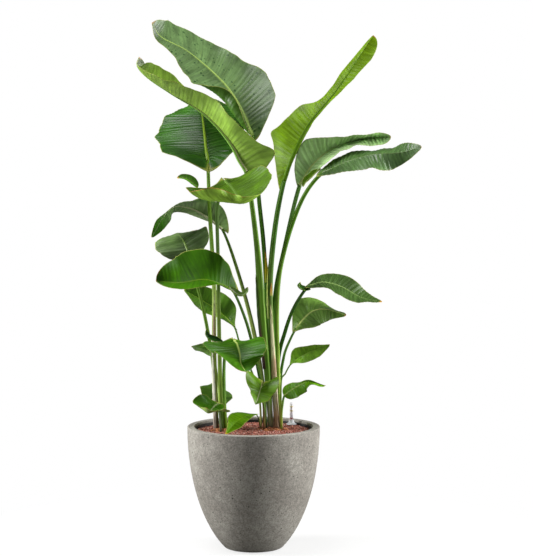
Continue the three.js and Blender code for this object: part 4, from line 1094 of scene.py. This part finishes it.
def blade_piece(leaf, number):
    """The blade as one mesh: a closed shell round the middle surface, thinner at its margins, and
    the keel, a tapering tube that hangs under the rib and stands proud of it by under 1 mm."""
    random = np.random.default_rng(100 + number)
    length = carried(leaf["rib"], leaf["face"], np.zeros(1))[-1]
    run = max(length, 0.9 * (max(leaf["right"]["width"]) + max(leaf["left"]["width"])))
    rows = int(np.clip(run / ROW_PITCH, 36, 220))
    u = np.linspace(0, 1, rows) ** 1.25
    v = (1 - (1 - np.linspace(0, 1, HALF_COLUMNS + 1)) ** 1.15)[None]
    halves = []
    for side in (-1, 1):
        points, across, offset, corrugation, vein = blade_surface(leaf, u, v, side, run, random)
        to_margin = across[:, -1:] - across
        dry = dry_share(leaf, side, u, to_margin)
        across_share = side * np.broadcast_to(v, across.shape)
        # Painted shade and painted highlights: the leaf's listed patches make the flesh darker or lighter.
        tone = np.clip(1 + patches_at(leaf["painted_shade_and_light"], u, across_share), 0.1, 3)
        fresh = np.clip(patches_at(leaf["fresh"], u, across_share), 0, 1)
        values = [side * across, vein, to_margin, offset, dry, tone, fresh, corrugation]
        order = slice(None, 0, -1) if side < 0 else slice(None)
        halves.append([points[:, order], *(value[:, order] for value in values)])
    points, across, vein, to_margin, offset, dry, tone, fresh, corrugation = (
        np.concatenate(parts, axis=1) for parts in zip(*halves)
    )
    points = points + grid_normals(points) * offset[..., None]
    normals = grid_normals(points)
    edge = np.abs(np.concatenate([-v[:, :0:-1], v], axis=1))
    thickness = BLADE_THICKNESS + (MARGIN_THICKNESS - BLADE_THICKNESS) * edge**4
    above = points + normals * thickness[..., None] / 2
    below = points - normals * thickness[..., None] / 2
    columns = points.shape[1]

    foot = leaf["radii"][-1]
    keel_u = np.linspace(0, 0.99, max(rows // 2, 20))
    place, _, sideways, up, _ = carried(leaf["rib"], leaf["face"], keel_u)
    radius = foot * (1 - keel_u) ** 1.25 * 0.97 + 0.3
    lowered = place - up * ((radius - KEEL_OVERLAP) * ease(keel_u / 0.1))[:, None]
    rings = np.repeat(radius[:, None], KEEL_SIDES, 1)
    keel_points, keel_faces = tube(lowered, sideways, up, rings, KEEL_SIDES)
    shell_size = 2 * rows * columns
    faces = shell_faces(rows, columns) + [f + shell_size for f in keel_faces]

    strip = (MIDRIB_SHARE * foot * (1 - u) ** 1.25 + 0.7)[:, None]
    midrib = ease(1.6 - np.abs(across) / strip)
    keel_size = len(keel_points)
    round_keel = np.sin(np.linspace(0, 2 * np.pi, KEEL_SIDES, endpoint=False))
    keel_top = np.append(np.tile(round_keel, len(keel_u)), [0, 0])
    keel_run = np.concatenate([np.repeat(keel_u * run, KEEL_SIDES), [0, run]])
    patterns = {  # above, below and on the keel
        "upper": (1, 0, ease(keel_top * 3)),
        "midrib": (midrib, midrib * 0.4, 1),
        "margin": (to_margin, to_margin, FAR),
        "dry": (dry, dry, 0),
        "tone": (tone, tone, 1),
        "fresh": (fresh, fresh, 0),
        # the corrugation, turned over below, says where a crest bulges out on each side for its painted
        # highlight
        "painted_crest_highlight": (corrugation, -corrugation, 0),
    }
    sizes = ((rows, columns), (rows, columns), keel_size)
    values = {
        key: np.concatenate([np.broadcast_to(part, size).ravel() for part, size in zip(parts, sizes)])
        for key, parts in patterns.items()
    }
    place_on = np.stack([across.ravel(), vein.ravel()], -1) / 100
    keel_on = np.stack([keel_top * 3, keel_run], -1) / 100
    uv = np.concatenate([place_on, place_on, keel_on])
    all_points = np.vstack([above.reshape(-1, 3), below.reshape(-1, 3), keel_points])
    return mesh_piece("leaf_" + leaf["name"], all_points, faces, values, uv)


def streaks(tree, *scale):
    """Noise drawn out along the piece's own surface, where a unit is 100 mm or, across a stalk, one
    turn round it. scale gives how many streaks there are to a unit, across and along."""
    place = node(tree, "UVMap", uv_map="surface").outputs[0]
    stretched = node(tree, "Mapping", {"Vector": place, "Scale": (*scale, 1)}).outputs[0]
    noise = {"Vector": stretched, "Scale": 1.0, "Detail": 2.0}
    return node(tree, "TexNoise", noise, noise_dimensions="2D").outputs[0]


FRESH_GREEN = "#3f8208"
SPOT_GREEN = "#2c4a22"
MARGIN_LINE = "#a3a350"
DRY_PALE = "#b98a3c"


def leaf_material(leaf):
    """Living leaf: waxy cells over a green flesh. The wax gives a soft half gloss, broken into
    streaks by veins 1.5 to 2 mm apart, and the flesh is mottled and paler along the veins, at the
    midrib and in a hair line round the margin. The crests of its corrugation get a painted
    highlight, on whichever side they bulge out, and the leaf's own patches of painted shade and
    painted highlight make it darker or lighter."""
    material, tree = new_material("waxy_leaf_" + leaf["name"])
    upper, under, midrib, keel = leaf["colours"]
    fine, broad = streaks(tree, 100 / 90, 100 / 4.2), streaks(tree, 100 / 160, 100 / 14)
    place = node(tree, "TexCoord").outputs["Object"]
    mottle = node(tree, "TexNoise", {"Vector": place, "Scale": 22.0, "Detail": 3.0}).outputs[0]
    on = {
        key: node(tree, "Attribute", attribute_name=key).outputs["Fac"]
        for key in ("upper", "midrib", "margin", "dry", "tone", "fresh", "painted_crest_highlight")
    }
    flesh = painted(tree, under, (on["upper"], upper), (on["fresh"], FRESH_GREEN))
    flesh = shaded(tree, flesh, mottle, (0.3, 0.7), (0.72, 1.2))
    flesh = shaded(tree, flesh, broad, (0.35, 0.65), (0.84, 1.14))
    flesh = shaded(tree, flesh, fine, (0.3, 0.7), (0.86, 1.13))
    # Painted shade and painted highlights: the tone attribute multiplies the flesh, darker or lighter in
    # patches.
    with_painted_light = {0: 1.0, 6: flesh, 7: on["tone"]}
    flesh = node(tree, "Mix", with_painted_light, data_type="RGBA", blend_type="MULTIPLY").outputs[2]
    # Painted highlight: the crests of the corrugation, on whichever side they bulge out, are painted towards
    # the midrib's pale colour.
    painted_crest_highlight = node(tree, "MapRange", {0: on["painted_crest_highlight"], 1: 0.75, 2: 1.0, 3: 0.0, 4: 0.3}).outputs[0]
    flesh = painted(tree, flesh, (painted_crest_highlight, midrib))
    if leaf["spots"]:
        on_surface = node(tree, "UVMap", uv_map="surface").outputs[0]
        cells = {"Vector": on_surface, "Scale": 7.5}
        cells = node(tree, "TexVoronoi", cells, voronoi_dimensions="2D")
        some = node(tree, "SeparateColor", {0: cells.outputs["Color"]}).outputs[0]
        size = node(tree, "MapRange", {0: some, 1: 0.45, 2: 1.0, 3: 0.0, 4: 0.24}).outputs[0]
        inside = {0: cells.outputs["Distance"], 1: size}
        inside = node(tree, "Math", inside, operation="LESS_THAN").outputs[0]
        spot = node(tree, "Math", {0: inside, 1: on["upper"]}, operation="MULTIPLY").outputs[0]
        flesh = painted(tree, flesh, (spot, SPOT_GREEN))
    rib = painted(tree, keel, (on["upper"], midrib))
    edge = node(tree, "MapRange", {0: on["margin"], 1: 0.5, 2: 1.7, 3: 0.75, 4: 0.0}).outputs[0]
    dried = painted(tree, leaf["dry_colour"], (mottle, DRY_PALE))
    leafy = painted(tree, flesh, (on["midrib"], rib), (edge, MARGIN_LINE), (on["dry"], dried))
    gloss = leaf["gloss"]
    wax = {0: fine, 1: 0.3, 2: 0.7, 3: gloss - 0.05, 4: gloss + 0.1}
    wax = node(tree, "MapRange", wax).outputs[0]
    surface_of(tree, leafy, wax, (0.2, 0.8, fine), {"Specular IOR Level": leaf["shine"]})
    return material


for number, leaf in enumerate(LEAVES + CURLS):
    blade = blade_piece(leaf, number)
    stands_for = ["blade_" + leaf["name"]] if leaf in LEAVES else []
    finish_piece(blade, leaf_material(leaf), stands_for)


# ---- Leaf stalks
# Each leaf's own stalk: a smooth, firm, nearly round stem with a shallow channel down one side,
# grown out of the roots, green above and paler and streaked towards the soil.

STALK_SIDES = 28
RING_PITCH = 6.0
BASE_HEIGHTS = (0.34, 0.42)  # metres up between which the base's colour gives way to the skin's
CHANNEL_DEPTH = 0.14  # share of the radius
CHANNEL_WIDTH = 0.30  # radians


def along_stalk(leaf, u):
    """What carried gives at shares u of the stalk, whose curve heads on into the rib."""
    points = [*leaf["stalk"], leaf["rib"][1]]
    return carried(points, [0, -1, 0], u, (len(points) - 2) / (len(points) - 1))


def stalk_piece(leaf, number):
    """A tube along the stalk's curve, which heads on into the rib. Its radius follows the list of
    radii, less a channel, and more at the two soft ridges beside it."""
    random = np.random.default_rng(300 + number)
    length = along_stalk(leaf, np.zeros(1))[-1]
    u = np.linspace(0, 1, int(np.clip(length / RING_PITCH, 12, 150)))
    place, _, sideways, up, _ = along_stalk(leaf, u)
    radius = catmull(leaf["radii"], u)[:, None]
    angle = np.linspace(0, 2 * np.pi, STALK_SIDES, endpoint=False)
    channel = np.pi / 2 + random.uniform(-1.1, 1.1)
    away = (angle - channel + np.pi) % (2 * np.pi) - np.pi
    groove = np.exp(-((away / CHANNEL_WIDTH) ** 2))
    ridge = np.exp(-(((np.abs(away) - 2 * CHANNEL_WIDTH) / 0.2) ** 2))
    radius = radius * (1 - CHANNEL_DEPTH * groove + 0.03 * ridge)
    points, faces = tube(place, sideways, up, radius, STALK_SIDES)
    around = np.tile(away / (2 * np.pi), len(u))
    uv = np.stack([around, np.repeat(u * length / 100, STALK_SIDES)], -1)
    uv = np.vstack([uv, uv[:1], uv[-1:]])
    values = {
        "groove": np.append(np.tile(groove, len(u)), [0, 0]),
        "ridge": np.append(np.tile(ridge, len(u)), [0, 0]),
    }
    return mesh_piece("stalk_" + leaf["name"] + "_skin", points, faces, values, uv)


def stalk_material(leaf):
    """Stalk skin: smooth and waxy like the blade's keel, with lengthwise streaks about 1 mm wide,
    a painted highlight on its ridges and painted shade in its channel, and brown or cream remains
    of its sheath near the soil."""
    material, tree = new_material("waxy_stalk_" + leaf["name"])
    top, low, base = leaf["stalk_colours"]
    place = node(tree, "TexCoord").outputs["Object"]
    height = node(tree, "SeparateXYZ", {0: place}).outputs[2]
    climb = node(tree, "MapRange", {0: height, 1: 0.4, 2: 0.85}).outputs[0]
    fine, broad = streaks(tree, 24, 0.9), streaks(tree, 7, 1.6)
    skin = painted(tree, low, (climb, top))
    skin = shaded(tree, skin, broad, (0.4, 0.62), (0.82, 1.18))
    skin = shaded(tree, skin, fine, (0.3, 0.7), (0.86, 1.14))
    # Painted highlight on the two soft ridges beside the channel, and painted shade in the channel.
    for key, strength, paint in (("ridge", 0.3, "#9fbc6c"), ("groove", 0.35, "#2f5516")):
        share = node(tree, "Attribute", attribute_name=key).outputs["Fac"]
        share = node(tree, "Math", {0: share, 1: strength}, operation="MULTIPLY").outputs[0]
        skin = painted(tree, skin, (share, paint))
    ragged = node(tree, "MapRange", {0: broad, 3: -0.06, 4: 0.06}).outputs[0]
    ragged_height = node(tree, "Math", {0: height, 1: ragged}, operation="ADD").outputs[0]
    low_down = {0: ragged_height, 1: BASE_HEIGHTS[0], 2: BASE_HEIGHTS[1], 3: 1.0, 4: 0.0}
    low_down = node(tree, "MapRange", low_down).outputs[0]
    soil = node(tree, "MapRange", {0: height, 1: 0.326, 2: 0.35, 3: 0.75, 4: 0.0}).outputs[0]
    skin = painted(tree, skin, (low_down, base), (soil, "#2f2118"))
    surface_of(tree, skin, 0.5, (0.3, 0.5, fine), {"Specular IOR Level": 0.12})
    return material


for number, leaf in enumerate(LEAVES):
    stalk = stalk_piece(leaf, number)
    finish_piece(stalk, stalk_material(leaf), ["stalk_" + leaf["name"]])


# ---- Dry leaf sheaths
# What is left of outer leaves: papery strips that still clasp a stalk, torn off ragged at the top,
# yellow or cream where they died lately and red-brown to grey-purple where they are old.

# on: the stalk it clasps. heights: from and to, in mm. facing and wrap: which way its middle faces
# and how far it reaches round each way, in degrees. colours: the height of each in mm, upwards.
# The last two are too thin to be solids of the frame, and are shown here only.
SHEATHS = [
    dict(
        name="sheath_dry_left", on="broad_back", heights=(332, 566), facing=-40, wrap=75,
        colours=[(335, "#54443a"), (370, "#a89c8c"), (440, "#d8d6c4"), (510, "#c4c4ae"), (560, "#c0c8a4")],
    ),
    dict(
        name="sheath_cream_right", on="tall_right", heights=(332, 690), facing=10, wrap=68,
        colours=[
            (335, "#6a4a34"), (370, "#b89a78"), (430, "#d8d0b4"), (500, "#d0ae88"),
            (560, "#e4dcb2"), (640, "#e4e0b0"), (690, "#ccc97e"),
        ],
    ),
    dict(
        name="sheath_yellow_tip", on="upper_left", heights=(740, 830), facing=30, wrap=52,
        colours=[(740, "#b9c052"), (775, "#f8d42c"), (830, "#e0a428")],
    ),
    dict(
        name="sheath_orange_tip", on="tall_right", heights=(704, 742), facing=20, wrap=26,
        colours=[(704, "#a8a848"), (725, "#b88a34"), (742, "#a06420")],
    ),
    dict(
        name="sheath_dark_left", on="long_left", heights=(500, 770), facing=-62, wrap=46,
        colours=[(500, "#3a1a14"), (580, "#48201a"), (620, "#33500f"), (770, "#3c6a14")],
    ),
    dict(
        name="sheath_cream_left", on="broad_back", heights=(576, 716), facing=5, wrap=34,
        colours=[(576, "#d8d2b6"), (610, "#c09a76"), (650, "#d8d2aa"), (716, "#a8b878")],
    ),
    dict(
        name="sheath_thin_right", on="tall_right", heights=(640, 792), facing=-60, wrap=34,
        colours=[(640, "#dce08e"), (720, "#c8d870"), (792, "#d8c860")],
    ),
]
SHEATH_OFFSET = 1.7  # stalk surface to the middle of the strip
SHEATH_THICKNESS = 0.7
SHEATH_ROWS, SHEATH_COLUMNS = 90, 25
SHEATH_CRUMPLE = 0.35  # mm in and out near the foot, and more towards the top


def sheath_piece(sheath, number):
    """A strip round part of its stalk, as rows up it by columns across it: narrower with the root
    of the way left to the top, its upper end cut by an uneven wave and its surface crumpled."""
    random = np.random.default_rng(500 + number)
    leaf = next(other for other in LEAVES if other["name"] == sheath["on"])
    climb = np.linspace(0, 1, 400)
    heights = along_stalk(leaf, climb)[0][:, 2]
    low, high = (np.interp(height, heights, climb) for height in sheath["heights"])
    t = np.linspace(0, 1, SHEATH_ROWS)[:, None]
    s = np.linspace(-1, 1, SHEATH_COLUMNS)[None]
    torn = 1 - 0.045 * (1 + ripple(s[0] * 40, 22, random)) - 0.03 * np.abs(s[0])
    u = (low + (high - low) * t * torn).ravel()
    place, _, sideways, up, length = along_stalk(leaf, u)
    taper = np.sqrt(np.maximum(1 - t, 0.06))
    angle = np.radians(sheath["facing"] + sheath["wrap"] * s * taper).ravel()
    crumple = SHEATH_CRUMPLE * ripple(t * 300 + 9 * s, 40, random) * (0.3 + t)
    radius = catmull(leaf["radii"], u) + SHEATH_OFFSET + crumple.ravel()
    out = np.sin(angle)[:, None] * sideways + np.cos(angle)[:, None] * up
    middle = (place + radius[:, None] * out).reshape(SHEATH_ROWS, SHEATH_COLUMNS, 3)
    normals = grid_normals(middle)
    shell = [middle + normals * SHEATH_THICKNESS / 2, middle - normals * SHEATH_THICKNESS / 2]
    shell = np.concatenate([half.reshape(-1, 3) for half in shell])
    to_edge = np.minimum(1 - np.abs(s) + 0 * t, (1 - t) * 8 + 0 * s)
    across = np.degrees(angle) / 360
    uv = np.stack([across, u * length / 100], -1)
    values = {"edge": np.tile(to_edge.ravel(), 2)}
    faces = shell_faces(SHEATH_ROWS, SHEATH_COLUMNS)
    return mesh_piece(sheath["name"] + "_strip", shell, faces, values, np.tile(uv, (2, 1)))


def sheath_material(sheath):
    """Papery dead leaf: its colour follows its height, streaked along its fibres, browner at its
    torn edges, and dull."""
    material, tree = new_material("papery_" + sheath["name"])
    place = node(tree, "TexCoord").outputs["Object"]
    height = node(tree, "SeparateXYZ", {0: place}).outputs[2]
    fibres, broad = streaks(tree, 30, 1.4), streaks(tree, 8, 2.2)
    shift = node(tree, "MapRange", {0: broad, 1: 0.3, 2: 0.7, 3: -0.025, 4: 0.025}).outputs[0]
    shifted = node(tree, "Math", {0: height, 1: shift}, operation="ADD").outputs[0]
    low, high = sheath["colours"][0][0], sheath["colours"][-1][0]
    share = node(tree, "MapRange", {0: shifted, 1: low * MM, 2: high * MM}).outputs[0]
    stops = [((level - low) / (high - low), colour) for level, colour in sheath["colours"]]
    papery = node(tree, "ValToRGB", {0: share}, stops=stops).outputs[0]
    papery = shaded(tree, papery, fibres, (0.3, 0.7), (0.66, 1.25))
    edge = node(tree, "Attribute", attribute_name="edge").outputs["Fac"]
    torn = node(tree, "MapRange", {0: edge, 1: 0.02, 2: 0.2, 3: 0.6, 4: 0.0}).outputs[0]
    surface_of(tree, painted(tree, papery, (torn, "#5a3a22")), 0.8, (0.6, 0.8, fibres))
    return material


for number, sheath in enumerate(SHEATHS):
    strip = sheath_piece(sheath, number)
    stands_for = [sheath["name"]] if sheath["name"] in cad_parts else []
    finish_piece(strip, sheath_material(sheath), stands_for)


# ---- Water gauge
# A plastic gauge that stands in the pellets: a sleeve with a float below, a bell-shaped grey flange
# on the granulate, and a clear tube above it in which a red marker rises past a white scale.

GAUGE_AT = (107, 98)
GAUGE_STEPS = 48
SLEEVE = (6.6, 8.2, 243, 331)  # bore, radius, foot and top
TUBE = (3.5, 4.75, 345.3, 394)  # the same
TUBE_WALL = 1.4  # at its closed top
SCALE_HALF = (1.5, 0.25)  # half the scale strip's width and thickness
SCALE_HEIGHTS = (348, 388)
SCALE_BEHIND = 2.5  # how far it stands behind the tube's axis
SCALE_MARKS = [  # middle height and half height in mm, and colour, of each coloured bar
    (371, 1.7, "#d9c46a"),
    (383, 1.7, "#d9c46a"),
    (349, 2.4, "#b8382c"),
]


def gauge_look(name, colour, roughness):
    """Smooth moulded plastic, a little uneven in colour from the mould."""
    material, tree = new_material(name)
    place = node(tree, "TexCoord").outputs["Object"]
    cloud = node(tree, "TexNoise", {"Vector": place, "Scale": 160.0, "Detail": 3.0}).outputs[0]
    surface_of(tree, shaded(tree, colour, cloud, (0.3, 0.7), (0.88, 1.12)), roughness)
    return material


def barred(tree, colour, strength):
    """The colour with the scale's two yellow bars and the red marker over it, by height."""
    place = node(tree, "TexCoord").outputs["Object"]
    height = node(tree, "SeparateXYZ", {0: place}).outputs[2]
    for level, reach, paint in SCALE_MARKS:
        bar = {0: height, 1: level * MM, 2: reach * MM}
        inside = node(tree, "Math", bar, operation="COMPARE").outputs[0]
        share = node(tree, "Math", {0: inside, 1: strength}, operation="MULTIPLY").outputs[0]
        colour = painted(tree, colour, (share, paint))
    return colour


def scale_material():
    """White printed plastic with coloured bars."""
    material, tree = new_material("printed_white_scale")
    surface_of(tree, barred(tree, "#ecebf2", 1.0), 0.45)
    return material


def tube_material():
    """Milky polycarbonate, tinted where the bars of the scale and the marker show through it."""
    material, tree = new_material("milky_polycarbonate")
    clear = {"Transmission Weight": 0.2, "IOR": 1.3}
    surface_of(tree, barred(tree, "#fbf9ff", 0.7), 0.15, more=clear)
    return material


white_plastic = gauge_look("moulded_white_plastic", "#e6e5e0", 0.4)
bore, wall, foot, top = SLEEVE
sleeve_profile = [(bore, foot), (wall, foot), (wall, top), (bore, top), (bore, foot)]
flange_profile = [(3.5, 331.4), (14.5, 331.4)]
flange_profile += corner(13.6, 332.6, 0.9, 0, 60, 4)
flange_profile += [(12.2, 334.4), (10.6, 335.8), (9.0, 337.6), (7.8, 339.8), (7.0, 342.2)]
flange_profile += corner(5.9, 344.1, 0.9, 0, 90, 4)
flange_profile += [(3.5, 345), (3.5, 331.4)]
inner, outer, low, high = TUBE
tube_profile = [(inner, low), (outer, low), (outer, high - 1.5)]
tube_profile += corner(outer - 1.5, high - 1.5, 1.5, 10, 90, 5)
tube_profile += [(0, high), (0, high - TUBE_WALL), (inner, high - TUBE_WALL), (inner, low)]
GAUGE_PARTS = [  # name, profile, material, slot
    ("gauge_sleeve", sleeve_profile, black_plastic, "gauge_black"),
    ("gauge_flange", flange_profile, gauge_look("moulded_grey_abs", "#b4b6b9", 0.45), "gauge_grey"),
    ("gauge_head", tube_profile, tube_material(), "gauge_clear"),
    ("gauge_float", [(0, 252), (5.8, 252.6), (5.8, 279.4), (0, 280)], white_plastic, "gauge_white"),
    ("gauge_rod", [(0, 280.3), (1.1, 280.3), (1.1, 346.5), (0, 346.5)], white_plastic, "gauge_white"),
    (
        "gauge_marker", [(0, 346.8), (1.7, 346.8), (1.7, 351.5), (0, 351.5)],
        gauge_look("moulded_red_plastic", "#b8382c", 0.35), "gauge_red",
    ),
]
for name, profile, material, slot in GAUGE_PARTS:
    part = turned_piece(name + "_part", profile, GAUGE_STEPS, GAUGE_AT)
    finish_piece(part, material, [name])

ring = np.array([[-1, -1], [1, -1], [1, 1], [-1, 1]]) * SCALE_HALF + GAUGE_AT + [0, SCALE_BEHIND]
scale_points = [[*corner_at, z] for z in SCALE_HEIGHTS for corner_at in ring]
scale_faces = [grid_quads(2, 4, wrap=True), np.array([[3, 2, 1, 0], [4, 5, 6, 7]])]
scale = mesh_piece("gauge_scale_strip", scale_points, scale_faces, smooth=False)
finish_piece(scale, scale_material(), ["gauge_scale"])
